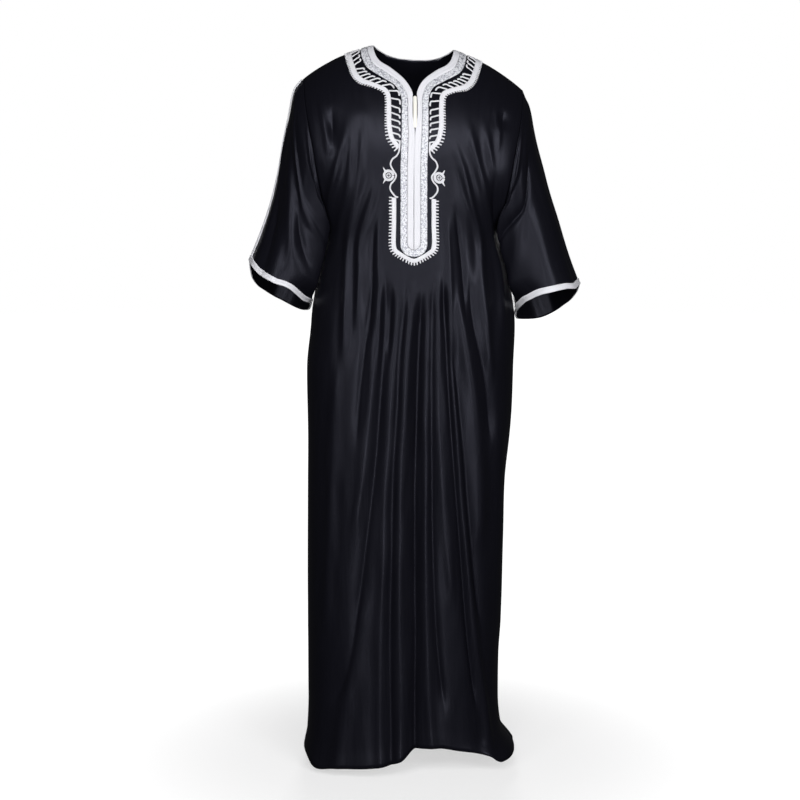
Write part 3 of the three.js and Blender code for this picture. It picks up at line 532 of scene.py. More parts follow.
# Folds as (rise, half width, line): the rise is how far one stands out, minus for a trough
# between folds, and the line follows it down the cloth through (x, level) points
frontFolds = [
    # skirt
    (9, 15, [(2, -450), (-13, -597), (-19, -717), (-27, -858), (-29, -1021), (-29, -1186),
         (-27, -1353), (-26, -1550)]),
    (6, 12, [(-31, -440), (-39, -597), (-45, -717), (-55, -858), (-59, -1021), (-65, -1186),
         (-66, -1353), (-64, -1550)]),
    (6, 11, [(30, -450), (26, -597), (25, -717), (25, -858), (23, -1021), (26, -1186), (34, -1353),
         (52, -1550)]),
    (5, 11, [(50, -440), (48, -597), (47, -717), (58, -858), (72, -1021), (82, -1140)]),
    (8, 10, [(64, -440), (74, -597), (83, -717), (94, -858), (109, -1021), (126, -1186),
         (150, -1353), (166, -1550)]),
    (8, 15, [(82, -440), (104, -597), (126, -717), (134, -858), (134, -1021)]),
    (6, 13, [(-68, -450), (-76, -597), (-87, -717), (-103, -858), (-124, -1000)]),
    (7, 16, [(-92, -1070), (-113, -1166), (-127, -1248), (-135, -1310), (-150, -1400),
         (-170, -1550)]),
    (-6, 9, [(-13, -470), (-27, -597), (-33, -717), (-41, -858), (-44, -1021), (-47, -1186),
         (-45, -1353), (-45, -1550)]),
    (-12, 11, [(17, -470), (10, -597), (7, -717), (3, -858), (3, -1021), (4, -1186), (3, -1353),
         (7, -1550)]),
    (-6, 8, [(38, -450), (36, -597), (36, -717), (37, -858), (40, -1021), (48, -1186),
         (66, -1353)]),
    (-7, 5, [(58, -450), (66, -597), (73, -717), (84, -858), (98, -1021), (112, -1186),
         (134, -1353)]),
    (-6, 9, [(74, -560), (90, -700), (106, -858), (122, -1021), (142, -1186)]),
    (-6, 11, [(112, -430), (120, -540), (146, -660), (158, -800)]),
    (-7, 11, [(-55, -440), (-60, -597), (-68, -717), (-80, -858), (-97, -1000), (-113, -1125),
         (-127, -1217), (-147, -1285), (-184, -1336)]),
    (-5, 8, [(-80, -440), (-94, -560), (-108, -680), (-118, -800)]),
    (6, 12, [(-150, -620), (-160, -760), (-168, -940), (-180, -1200)]),
    (6, 12, [(168, -700), (174, -860), (178, -1050), (186, -1250)]),
    # right chest, between the border and the sleeve
    (5, 9, [(-145, -213), (-159, -270), (-173, -331)]),
    (6, 10, [(-118, -140), (-121, -172), (-125, -259), (-146, -354), (-165, -430)]),
    (7, 9, [(-101, -150), (-101, -175), (-105, -249), (-122, -325), (-132, -402), (-136, -500),
         (-140, -640)]),
    (6, 9, [(-72, -230), (-76, -286), (-106, -376), (-108, -450), (-112, -580)]),
    (5, 8, [(-128, -130), (-135, -177), (-147, -236), (-162, -289), (-179, -356)]),
    (5, 7, [(-186, -100), (-183, -124), (-173, -179), (-161, -251)]),
    (-7, 12, [(-160, -120), (-162, -165), (-158, -215)]),
    (2.5, 24, [(-100, -110), (-104, -140), (-98, -170)]),
    (4, 7, [(-64, -310), (-68, -400), (-66, -500), (-72, -660)]),
    (-4, 6, [(-74, -330), (-82, -400), (-84, -480), (-90, -600)]),
    (-5, 7, [(-42, -455), (-47, -540), (-52, -640)]),
    # left chest
    (4, 7, [(62, -300), (68, -390), (72, -470), (78, -560)]),
    (-5, 7, [(78, -300), (94, -400), (100, -470), (104, -560)]),
    (-4, 6, [(58, -430), (60, -500), (62, -580)]),
    (7, 9, [(69, -166), (91, -223), (115, -308), (132, -380), (136, -451), (147, -560),
         (158, -680)]),
    (7, 9, [(105, -130), (110, -154), (124, -221), (145, -297), (164, -391), (176, -477),
         (182, -580)]),
    (5, 8, [(136, -125), (140, -148), (150, -206), (158, -260)]),
    (3.5, 5, [(158, -100), (162, -121), (168, -160), (162, -219)]),
    (-7, 9, [(160, -235), (161, -296), (167, -349), (176, -438)]),
    (-6, 12, [(176, -110), (178, -130), (174, -160)]),
]
# The back hangs from the yoke in similar folds
backFolds = [
    (8, 18, [(-96, -200), (-112, -460), (-124, -760), (-150, -1470)]),
    (7, 15, [(-52, -330), (-60, -560), (-68, -860), (-92, -1470)]),
    (8, 17, [(-14, -260), (-20, -560), (-24, -900), (-30, -1470)]),
    (6, 14, [(34, -360), (32, -640), (28, -1000), (22, -1470)]),
    (9, 17, [(70, -240), (80, -560), (84, -960), (80, -1470)]),
    (7, 17, [(112, -180), (130, -480), (138, -840), (142, -1300)]),
    (6, 14, [(150, -420), (164, -640), (172, -900), (176, -1180)]),
    (6, 14, [(-150, -300), (-166, -560), (-176, -860), (-184, -1200)]),
    (-6, 9, [(-72, -330), (-86, -620), (-98, -960), (-120, -1470)]),
    (-7, 9, [(-34, -380), (-42, -680), (-48, -1040), (-60, -1470)]),
    (-6, 8, [(8, -360), (6, -700), (2, -1080), (-4, -1470)]),
    (-7, 9, [(52, -330), (56, -640), (56, -1000), (50, -1470)]),
    (-6, 10, [(92, -260), (106, -600), (112, -960), (112, -1470)]),
    (-6, 10, [(134, -300), (150, -620), (156, -980)]),
    (-6, 10, [(-122, -300), (-144, -640), (-154, -1000)]),
]
# Half width of the stiff embroidered field, which has no folds
fieldEdge = table(
    "level half", (0, 150), (-60, 145), (-120, 72), (-210, 68), (-300, 56), (-440, 50),
    (-478, -30), (-1500, -30))

foldLook = {
    "ridgeDepth": 0.85, "troughDepth": 1.25,   # share of the listed rises
    "ridgeUndercut": 0.4,   # the cloth sinks beside a ridge
    "troughPower": 1.15,    # near 1 gives a sharp bottom, 2 a round one
    "fade": 80,             # mm over which a fold starts and ends
    "sway": 0.25, "swayLength": 90,   # the width changes along the fold, mm
    "reach": 4,             # half widths that a fold is felt over
}
noiseSeeds = {"sway": 11, "front": (3, 5), "back": (4, 6), "pucker": 8, "sleeve": (21, 31)}


# Height of the folds at places (u, v) on the cloth: round ridges, and troughs with a sharp bottom
def foldHeight(folds, u, v):
    look = foldLook
    height = np.zeros_like(u)
    for number, (rise, half, points) in enumerate(folds):
        line = throughPoints(points, np.linspace(0, 1, 5 * len(points)))
        low, high = line.min(0) - look["reach"] * half, line.max(0) + look["reach"] * half
        near = (u > low[0]) & (u < high[0]) & (v > low[1]) & (v < high[1])
        un, vn = u[near], v[near]
        nearest, run, start = np.full(un.shape, 1e6), np.zeros_like(un), 0.0
        for a, b in zip(line, line[1:]):
            way = b - a
            size = math.hypot(*way)
            share = np.clip(((un - a[0]) * way[0] + (vn - a[1]) * way[1]) / size**2, 0, 1)
            gap = np.hypot(un - a[0] - share * way[0], vn - a[1] - share * way[1])
            run = np.where(gap < nearest, start + share * size, run)
            nearest = np.minimum(gap, nearest)
            start += size
        fade = min(look["fade"], start / 2)
        strength = smooth(0, fade, run) * smooth(0, fade, start - run)
        sway = softNoise(run / look["swayLength"], 0 * run + number * 3.7, noiseSeeds["sway"])
        away = nearest / (half * (1 + look["sway"] * sway))
        if rise > 0:
            shape = look["ridgeDepth"] * (
                np.exp(-away**2) - look["ridgeUndercut"] * np.exp(-(away / 2)**2))
        else:
            shape = look["troughDepth"] * np.exp(-away**look["troughPower"])
        height[near] += rise * strength * shape
    return height


panelLook = {
    "columns": 240, "upperRows": 50, "lowerRows": 136, "columnWidth": 2.2,   # mm, about
    "neckTuck": 2,          # mm, the braid covers the cloth's edge
    "hemHalf": 232,         # mm, half the width of the hem
    "fieldFade": 26,        # mm from the stiff field to full folds
    "unevenness": 0.9, "dentSize": (34, 150),   # mm, soft dents between the folds
    "fineDents": 0.5, "fineDentSize": (15, 75), "dentFade": (-20, -200),   # levels
    "yokeFade": (-60, -190),   # levels between which the back's folds set in
    "seamColumns": 8,       # columns beside a seam without folds
    "seamDip": 0.4, "seamWidth": 4,   # mm, the cloth sinks where a seam pulls it in
    "pucker": 0.5, "puckerSize": (9, 3),   # mm along the seam, columns across it
    "hemDepth": 26, "hemStep": 0.5, "hemEdge": (2, -1),   # mm, the turned hem stands out
    "widthRow": -120,       # the row that gives the pattern its width
}


def panelGrid(side):
    sign = -1 if side == "back" else 1
    look = panelLook
    place = np.linspace(-1, 1, look["columns"] + 1)[:, None]
    top, fall, reach, scale, length = columnAt(side, place)
    x = np.abs(place) * robe["shoulderHalf"]
    start = np.where(
        x < robe["neckHalf"],
        np.maximum(lookUp(neckEdges[side], "x", "along", x) + look["neckTuck"],
                   robe["seamGap"] / 2), robe["seamGap"] / 2)
    share = np.linspace(0, 1, look["upperRows"] + 1)[None, :-1]
    q = mix(start, length, share)
    upper = sidePoint(side, place + 0 * q, q)
    hem = lookUp(hemEdges[side], "x", "level", place * look["hemHalf"])
    down = np.linspace(0, 1, look["lowerRows"] + 1)[None, :]
    level = mix(robe["chestLevel"], hem, down)
    wide = np.sin(place * math.pi / 2)
    lateral = mix(place, wide, smooth(robe["chestLevel"], robe["underarmLevel"], level))
    lower = sidePoint(side, lateral, columnAt(side, lateral)[4] + robe["chestLevel"] - level)
    lower[..., 1] -= sign * robe["seamGap"] / 2
    plain = np.concatenate([upper, lower], 1)
    normal = gridNormals(plain) * sign
    x, z = plain[..., 0], plain[..., 2]
    if side == "front":
        field = lookUp(fieldEdge, "level", "half", z)
        collar, folds = 1, frontFolds
    else:
        field = np.zeros_like(z)
        collar, folds = smooth(*look["yokeFade"], z), backFolds
    free = smooth(field, field + look["fieldFade"], np.abs(x)) * collar
    edge = np.minimum(np.arange(len(plain)), np.arange(len(plain))[::-1])[:, None]
    seam = smooth(0, look["seamColumns"], edge)
    height = foldHeight(folds, x, z) * free * seam
    broad, fine = noiseSeeds[side]
    (wide, tall), (fineWide, fineTall) = look["dentSize"], look["fineDentSize"]
    dents = (softNoise(x / wide, z / tall, broad)
             + look["fineDents"] * softNoise(x / fineWide, z / fineTall, fine))
    height += look["unevenness"] * dents * smooth(*look["dentFade"], z) * free * seam
    puckerLength, puckerColumns = look["puckerSize"]
    pucker = 1 + look["pucker"] * softNoise(
        z / puckerLength, edge / puckerColumns + 0 * z, noiseSeeds["pucker"])
    height -= (look["seamDip"] * np.exp(-edge * look["columnWidth"] / look["seamWidth"])
               * pucker)
    hemTop = hem + look["hemDepth"]
    height += look["hemStep"] * smooth(hemTop + look["hemEdge"][0], hemTop + look["hemEdge"][1], z)
    points = plain + normal * height[..., None]
    across = runLength(plain[:, look["widthRow"]])[:, None] + 0 * z
    along = np.concatenate([q - start, 0 * level + length - start + robe["chestLevel"] - level], 1)
    return {"points": lean(points), "uv": (across, along), "flip": side == "back"}


for side in ("front", "back"):
    makePiece(side + "Panel", side, "satin", [panelGrid(side)],
                             robe["clothThickness"])
print("front and back panels made")

sleeveLines = table(
    "t overX overZ underX underZ front back",
    (0, 220, -70, 174, -360, 85, 85), (0.12, 240, -98, 180, -378, 86, 87),
    (0.27, 251, -150, 186, -400, 87, 89), (0.42, 263, -208, 191, -422, 88, 90),
    (0.57, 275, -266, 196, -446, 89, 92), (0.72, 290, -322, 200, -470, 90, 94),
    (0.86, 309, -376, 204, -492, 91, 95), (1, 335, -438, 210, -513, 92, 96))
# Sideways shift of the left over-arm, which hangs further out at the cuff
leftOverArm = table("t out", (0, 0), (0.1, -8), (0.3, -7), (0.5, 0), (0.75, 9), (1, 6))
# How far the cuff edge hangs below a straight cut, in mm by turn
cuffFalls = {
    "right": table("turn fall", (-180, 0), (-150, 22), (-120, 40), (-90, 52), (-70, 57), (-45, 55),
                   (-20, 41), (-10, 24), (0, 5), (30, 8), (53, 16), (81, 10), (114, -5), (146, 0),
                   (180, 0)),
    "left": table("turn fall", (-180, 20), (-150, 40), (-90, 60), (-45, 50), (-20, 34), (0, 16),
                  (36, 16), (64, 4), (85, -2), (107, -4), (130, 0), (160, 12), (180, 20)),
}
# Sleeve folds as (t, turn) lines; turn is degrees from the over-arm, forward as plus
rearFolds = [
    (7, 20, [(0.15, -46), (0.6, -60), (1.2, -74)]),
    (6, 16, [(0.1, -92), (0.5, -103), (0.9, -114)]),
    (5, 16, [(0.3, -130), (0.7, -142), (1.1, -152)]),
]
sleeveFolds = {
    "right": [
        (5, 8, [(0, 60), (0.04, 90), (0.11, 130), (0.2, 160)]),
        (6, 12, [(0.05, 20), (0.3, 70), (0.39, 98), (0.49, 120), (0.62, 135)]),
        (6, 18, [(0.3, 40), (0.53, 70), (0.69, 90), (0.88, 108), (1.15, 122)]),
        (-5, 10, [(0.4, 85), (0.6, 104), (0.85, 120)]),
        (-4, 14, [(0.5, 30), (0.75, 45), (0.91, 54), (1.15, 60)]),
        (4, 16, [(0.2, 10), (0.6, 28), (1.15, 38)]),
        *rearFolds,
    ],
    "left": [
        (7, 10, [(0.02, 50), (0.07, 84), (0.12, 118), (0.17, 154), (0.3, 178)]),
        (-6, 10, [(0.15, 60), (0.34, 80), (0.38, 114), (0.44, 170)]),
        (6, 20, [(0.1, 44), (0.41, 44), (0.68, 42), (0.86, 46), (1.15, 52)]),
        (5, 14, [(0.3, 100), (0.55, 110), (0.8, 125), (1.15, 142)]),
        *rearFolds,
    ],
}
sleeveLook = {
    "columns": 160, "rows": 96, "length": 330, "round": 520,   # mm, along and round the sleeve
    "cuffPinch": 1.25, "armholeGap": 0.6, "bodyClearance": 4,
    "innerWrap": 30,        # mm, the inner side of the sleeve rests round the body
    "wrapStart": (95, 130), "wrapEnd": (184, 160),   # degrees from the over-arm
    "unevenness": 1.1, "fineDents": 0.5, "seamDip": 0.4, "seamWidth": 4,   # mm, as on the panels
}


# Half width of the body at a depth and height, which a sleeve stays clear of
def bodyHalfAt(y, level):
    tries = np.linspace(1, 0, 81)
    halves = sectionAt("half", level)
    found = np.zeros_like(y)
    for side, here in (("front", y <= 0), ("back", y > 0)):
        depth = np.abs(y[here])
        reaches = sectionReach(side, tries[None, :], level[here][:, None])
        inside = reaches >= depth[:, None]
        k = np.where(inside.any(1), inside.argmax(1), len(tries) - 1)
        row = np.arange(len(k))
        low, high = reaches[row, np.maximum(k - 1, 0)], reaches[row, k]
        share = np.clip((depth - low) / np.maximum(high - low, 1e-6), 0, 1)
        found[here] = np.where(k == 0, 1, mix(tries[np.maximum(k - 1, 0)], tries[k], share))
    return halves * found


def sleeveAt(hand, t, turn):
    look = sleeveLook
    t, turn = np.broadcast_arrays(np.asarray(t, float), np.asarray(turn, float))
    read = lambda name: lookUp(sleeveLines, "t", name, t)
    angle = np.radians(turn)
    upShare = (1 + np.cos(angle)) / 2
    bulge = np.abs(np.sin(angle))**mix(1, look["cuffPinch"], smooth(0.3, 1, t))
    rear = turn < 0
    x = mix(read("underX"), read("overX"), upShare)
    y = np.where(rear, read("back"), -read("front")) * bulge
    z = mix(read("underZ"), read("overZ"), upShare)
    name = "left" if hand > 0 else "right"
    z = z - smooth(0.25, 1, t) * lookUp(cuffFalls[name], "turn", "fall", turn)
    x = x - (look["innerWrap"] * smooth(*look["wrapStart"], turn)
             * smooth(*look["wrapEnd"], turn)
             * smooth(0.05, 0.3, t) * smooth(1, 0.85, t))
    if hand > 0:
        x = x + upShare * lookUp(leftOverArm, "t", "out", t)
    one = np.ones_like(t)
    edgeLength = (columnAt("front", one)[4] + robe["chestLevel"] - robe["underarmLevel"])
    q = edgeLength * np.abs(turn) / 180
    edge = np.where(rear[..., None], sidePoint("back", one, q), sidePoint("front", one, q))
    top = {key: column[0] for key, column in sleeveLines.items()}
    start = np.stack([mix(top["underX"], top["overX"], upShare),
                      np.where(rear, top["back"], -top["front"]) * np.abs(np.sin(angle)),
                      mix(top["underZ"], top["overZ"], upShare)], -1)
    points = np.stack([x, y, z], -1) + (edge - start) * (1 - smooth(0, 0.5, t))[..., None]
    clear = look["armholeGap"] + look["bodyClearance"] * smooth(0, 0.35, t)
    limit = bodyHalfAt(points[..., 1].ravel(), points[..., 2].ravel()).reshape(t.shape) + clear
    points[..., 0] = np.maximum(points[..., 0] + look["armholeGap"], limit)
    arc = look["round"] / 360
    folds = [(rise, half, [(turned * arc, at * look["length"]) for at, turned in line])
             for rise, half, line in sleeveFolds[name]]
    height = foldHeight(folds, turn * arc, t * look["length"]) * smooth(0, 0.03, t)
    points[..., 1] += np.where(rear, 1, -1) * height * np.abs(np.sin(angle))
    points[..., 0] += height * np.cos(angle)
    points[..., 0] *= hand
    return points


def sleeveGrid(hand):
    look = sleeveLook
    turn = -180 + 360 * np.arange(look["columns"])[:, None] / look["columns"]
    t = np.linspace(0, 1, look["rows"] + 1)[None, :]
    points = sleeveAt(hand, t, turn)
    normal = gridNormals(points, wrap=True) * -hand
    around = turn / 360 * look["round"] + 0 * t
    down = t * look["length"] + 0 * turn
    ring = np.radians(turn)
    broad, fine = (softNoise(centre + size * np.cos(ring) + 0 * t,
                             centre + size * np.sin(ring) + t * size, seed + hand)
                   for centre, size, seed in zip((6, 9), (3, 6), noiseSeeds["sleeve"]))
    dents = broad + look["fineDents"] * fine
    height = look["unevenness"] * dents * smooth(0, 0.2, t) * smooth(1.1, 0.85, t)
    height = height - look["seamDip"] * np.exp(-down / look["seamWidth"])
    points = points + normal * height[..., None]
    return {"points": lean(points), "uv": (around, down), "wrap": True,
            "uvStep": (look["round"] / look["columns"], 0), "flip": hand > 0}


hands = {"right": -1, "left": 1}
for name, hand in hands.items():
    makePiece("sleeve" + name.capitalize(), "sleeve_" + name, "satin",
                              [sleeveGrid(hand)], robe["clothThickness"])
print("sleeves made")


cuffBand = {
    "width": 12, "columns": 220,
    "probe": 0.05,          # share of the sleeve's length that its direction is read over
    "overhang": 0.003,      # share of the length that the band stands past the cuff
    "section": table(       # share of the width and height in mm, folded in over the edge
        "share height", (0, 0), (0, 1.0), (0.08, 1.7), (0.2, 2.1), (0.34, 1.9), (0.46, 1.5),
        (0.54, 1.5), (0.66, 1.9), (0.8, 2.1), (0.92, 1.8), (1, 1.1), (1, -0.4), (1, -1.4)),
}


# A band round the cuff, like a flat woven braid
def cuffGrid(hand):
    band, section = cuffBand, cuffBand["section"]
    turn = -180 + 360 * np.arange(band["columns"])[:, None] / band["columns"]
    run = np.linalg.norm(sleeveAt(hand, 1 - band["probe"], turn) - sleeveAt(hand, 1, turn),
                         axis=-1)
    first = 1 - band["probe"] * band["width"] / run
    t = mix(first, 1 + band["overhang"], section["share"][None, :])
    fine = sleeveAt(hand, t, turn)
    body = sleeveAt(hand, np.concatenate([first - band["probe"], first, 1 + 0 * first], 1), turn)
    normal = gridNormals(body, wrap=True)[:, 1:2] * -hand
    points = fine + normal * section["height"][None, :, None]
    u = turn / 360 * sleeveLook["round"] + 0 * t
    v = (section["share"] * band["width"])[None, :] + 0 * turn
    return {"points": lean(points), "uv": (u, v), "wrap": True,
            "uvStep": (sleeveLook["round"] / band["columns"], 0), "flip": hand > 0}


bluntness = 0.96   # how far a cord's ends are rounded off


# A round cord along a path on the cloth, given as (x, along) points
def cordGrid(path, width, height, lift, ring=8, taper=0):
    run = runLength(path)
    direction = np.gradient(path, axis=0)
    direction /= np.linalg.norm(direction, axis=1, keepdims=True) + 1e-9
    aside = np.stack([-direction[:, 1], direction[:, 0]], 1)
    fromEnd = np.minimum(run, run[-1] - run)
    radius = width / 2
    rounding = np.sqrt(1 - (1 - np.clip(fromEnd / radius, 0, 1))**2 * bluntness)
    rounding = rounding * (1 - taper * run / run[-1])
    angle = 2 * math.pi * np.arange(ring) / ring
    out = radius * np.cos(angle)[None, :] * rounding[:, None]
    up = lift + height / 2 * (1 + np.sin(angle)[None, :] * rounding[:, None])
    flat = path[:, None, :] + aside[:, None, :] * out[..., None]
    u = run[:, None] + 0 * up
    v = (angle / 2 * radius)[None, :] + 0 * up
    return {"points": onCloth(flat[..., 0], flat[..., 1], up), "uv": (u, v),
            "tube": True, "caps": True,
            "uvStep": (0, math.pi * radius / ring)}


sleeveCord = {
    "width": 2.8, "height": 2.4, "lift": 0.5, "points": 96, "ring": 8,   # mm
    "from": 0.02, "to": 0.978,   # share of the sleeve's length
    # each cord's turn from the over-arm in degrees, at the shoulder and at the cuff
    "turns": {"right": [(2, 12), (9, 20)], "left": [(-22, -22), (-30, -31)]},
}


def sleeveCordGrid(hand, turns):
    cord = sleeveCord
    t = np.linspace(cord["from"], cord["to"], cord["points"])
    turn = mix(turns[0], turns[1], t)
    centre = sleeveAt(hand, t, turn)
    across = sleeveAt(hand, t, turn + 2) - sleeveAt(hand, t, turn - 2)
    down = sleeveAt(hand, t + 0.01, turn) - sleeveAt(hand, t - 0.01, turn)
    normal = np.cross(down, across) * -hand
    normal /= np.linalg.norm(normal, axis=1, keepdims=True)
    across /= np.linalg.norm(across, axis=1, keepdims=True)
    angle = 2 * math.pi * np.arange(cord["ring"]) / cord["ring"]
    radius = cord["width"] / 2
    up = cord["lift"] + cord["height"] / 2 * (1 + np.sin(angle))
    points = (centre[:, None] + across[:, None] * (radius * np.cos(angle))[None, :, None]
              + normal[:, None] * up[None, :, None])
    run = runLength(centre)[:, None] + 0 * angle
    v = (angle / 2 * radius)[None, :] + 0 * run
    return {"points": lean(points), "uv": (run, v), "tube": True, "caps": True,
            "uvStep": (0, math.pi * radius / cord["ring"]), "flip": hand > 0}


for name, hand in hands.items():
    big = name.capitalize()
    trims = [makePiece("cuffBand" + big, "cuff_band_" + name, "braid", [cuffGrid(hand)])]
    for k, turns in enumerate(sleeveCord["turns"][name], 1):
        trims.append(makePiece(f"sleeveCord{big}{k}", f"sleeve_cord_{name}_{k}", "cord",
                               [sleeveCordGrid(hand, turns)]))
print("cuff bands and sleeve cords made")

# Sections across the bands: share of the width and height in mm
neckBand = {
    "step": 2.0, "lift": 0.2,
    "braid": table(
        "share height", (0, -1.2), (0, 1.3), (0.06, 1.6), (0.16, 1.8), (0.28, 1.9), (0.4, 1.7),
        (0.47, 1.35), (0.53, 1.35), (0.6, 1.7), (0.72, 1.9), (0.84, 1.8), (0.94, 1.3), (1, 0.7),
        (1, -0.2)),
    "galloon": table(
        "share height", (0.03, -0.2), (0.03, 0.7), (0.08, 1.1), (0.18, 1.4), (0.3, 1.3),
        (0.42, 1.5), (0.54, 1.5), (0.66, 1.3), (0.78, 1.5), (0.88, 1.4), (0.96, 1.1), (1, 0.7),
        (1, -0.2)),
    "relief": 0.45, "reliefPitch": 10,   # mm, the loops of the galloon
}
# Neck edge, joint of braid and galloon, outer edge; from the middle of the back round to the
# point of the front band
neckLines = [
    [(0, -45), (34, -42.5), (60, -32), (76, -14), (80, 10), (78, 40), (68, 64), (45, 83),
     (17, 112), (4.2, 140), (4.6, 150), (4.6, 190), (1.6, 211), (0.4, 224), (0.4, 340),
     (0.4, 430), (0.4, 446), (0.4, 450), (0.4, 452), (0.4, 453), (0.2, 453.5)],
    [(0, -57.5), (37, -55.5), (67, -43), (87, -20), (92.5, 9), (90, 43.5), (79, 74),
     (53.5, 95), (27.5, 118), (16, 143.5), (14.6, 152), (14.2, 190), (13.6, 211), (13, 224),
     (13, 340), (13, 430), (12.8, 441), (11, 446.5), (8, 450.3), (4.4, 452.6), (0.2, 453.5)],
    [(0, -70), (40, -67), (74, -54), (98, -26), (105, 8), (103, 47), (90, 84), (62, 107),
     (38, 124.5), (28, 146), (26.6, 156), (26.2, 190), (26.2, 211), (26.2, 224), (26.2, 340),
     (26.2, 430), (26, 446), (23, 455), (17.5, 461.2), (9.4, 465.8), (0.2, 467.5)],
]


# A band between two of the neck lines, with a section across it
def neckStrip(low, high, section, relief=0):
    fine = np.linspace(0, 1, curveSteps["band"])
    run = runLength(throughPoints(neckLines[1], fine))
    count = int(run[-1] / neckBand["step"])
    share = np.interp(np.linspace(0, run[-1], count), run, fine)
    low, high = throughPoints(neckLines[low], share), throughPoints(neckLines[high], share)
    across = section["share"][None, :]
    flat = low[:, None] * (1 - across[..., None]) + high[:, None] * across[..., None]
    half = np.concatenate([flat[::-1] * [-1, 1], flat[1:]])
    x, along = half[..., 0], half[..., 1]
    distance = np.linspace(-run[-1], run[-1], 2 * count - 1)[:, None]
    wide = np.linalg.norm(high - low, axis=1)
    v = np.concatenate([wide[::-1], wide[1:]])[:, None] * across
    loops = (np.sin(2 * math.pi * distance / neckBand["reliefPitch"])
             * np.sin(math.pi * across * 3))
    lift = (neckBand["lift"] + section["height"][None, :]
            + np.where((across > 0.05) & (across < 0.95), relief * loops, 0))
    return {"points": onCloth(x + bandMiddle(along), along, lift), "uv": (distance + 0 * v, v)}


braidPiece = makePiece("neckBraid", "braid", "braid", [neckStrip(0, 1, neckBand["braid"])])
galloonPiece = makePiece("galloonTrim", "galloon", "galloon",
                         [neckStrip(1, 2, neckBand["galloon"], neckBand["relief"])])

zipCoil = {"start": 147, "end": 214, "width": 7.8, "height": 2.2, "lift": 0.4}   # mm
zipAlong = np.linspace(zipCoil["start"], zipCoil["end"], 60)
zipPath = np.stack([bandMiddle(zipAlong), zipAlong], 1)
zipPiece = makePiece("zipCoil", "zip", "zip", [
    cordGrid(zipPath, zipCoil["width"], zipCoil["height"], zipCoil["lift"])])
print("neck band made")

border = {
    "lift": 0.2, "toothWidth": 3.0, "toothHeight": 1.9, "overlap": 1.5,   # mm
    "barPitch": 13.9, "barWidth": 3.5, "barHeight": 2.1,
    "barSlant": 8, "barSlantAtRidge": 12, "hook": 7,
    "turnX": 101,           # where the bars change the way they lean
    "section": table(       # the comb's back: share of its width and height in mm
        "share height", (0, -0.2), (0, 0.7), (0.1, 1.3), (0.28, 1.7), (0.5, 1.3), (0.72, 1.7),
        (0.9, 1.3), (1, 0.7), (1, -0.2)),
    "ripple": 0.28, "ripplePitch": 5.0, "rippleSlant": 0.8,   # mm, its chevrons
}
# The side towards the braid and the tips of the comb, from the shoulder to the lower end.
# tooth and pitch: length and spacing of the comb's teeth at the two ends; band: its back
upperBorder = {
    "inside": [(108, 3), (106.5, 36), (102, 63), (94.5, 87), (84, 101.5), (70, 109.5),
               (56, 116.5), (43, 124.5), (33, 134), (29, 148), (28.4, 183), (28.4, 212),
               (28.8, 232), (29.4, 246), (29.6, 254)],
    "tips": [(139, 3), (136.5, 33), (131, 63), (122, 95), (108, 116.5), (91, 129), (74, 137),
             (65, 142), (61, 150), (60, 160), (60, 186), (59.8, 218), (56.5, 239), (47, 253),
             (37.5, 266)],
    "tooth": (4.0, 6.8), "pitch": (5.5, 7.2), "band": 9.4,
}
halfBack = {
    "inside": [(0, -78), (30, -76), (62, -69), (88, -53), (103, -29), (108, -3)],
    "tips": [(0, -103), (36, -101), (77, -92), (113, -67), (133, -34), (139, -3)],
}
halfLower = {
    "inside": [(-34.3, 352), (-34.3, 400), (-34.3, 446), (-31, 453), (-13, 465.4), (0, 470.5)],
    "tips": [(-49, 352), (-49, 400), (-49, 449), (-44.5, 459.5), (-17, 478), (0, 484.5)],
}


# Steps of about 1 mm along the tips, with the matching places inside
def borderRun(lines):
    share = np.linspace(0, 1, curveSteps["band"])
    tips, inside = throughPoints(lines["tips"], share), throughPoints(lines["inside"], share)
    run = runLength(tips)
    at = np.linspace(0, run[-1], int(run[-1]) + 1)
    pick = lambda p: np.stack([np.interp(at, run, p[:, k]) for k in range(2)], 1)
    return at, pick(tips), pick(inside)


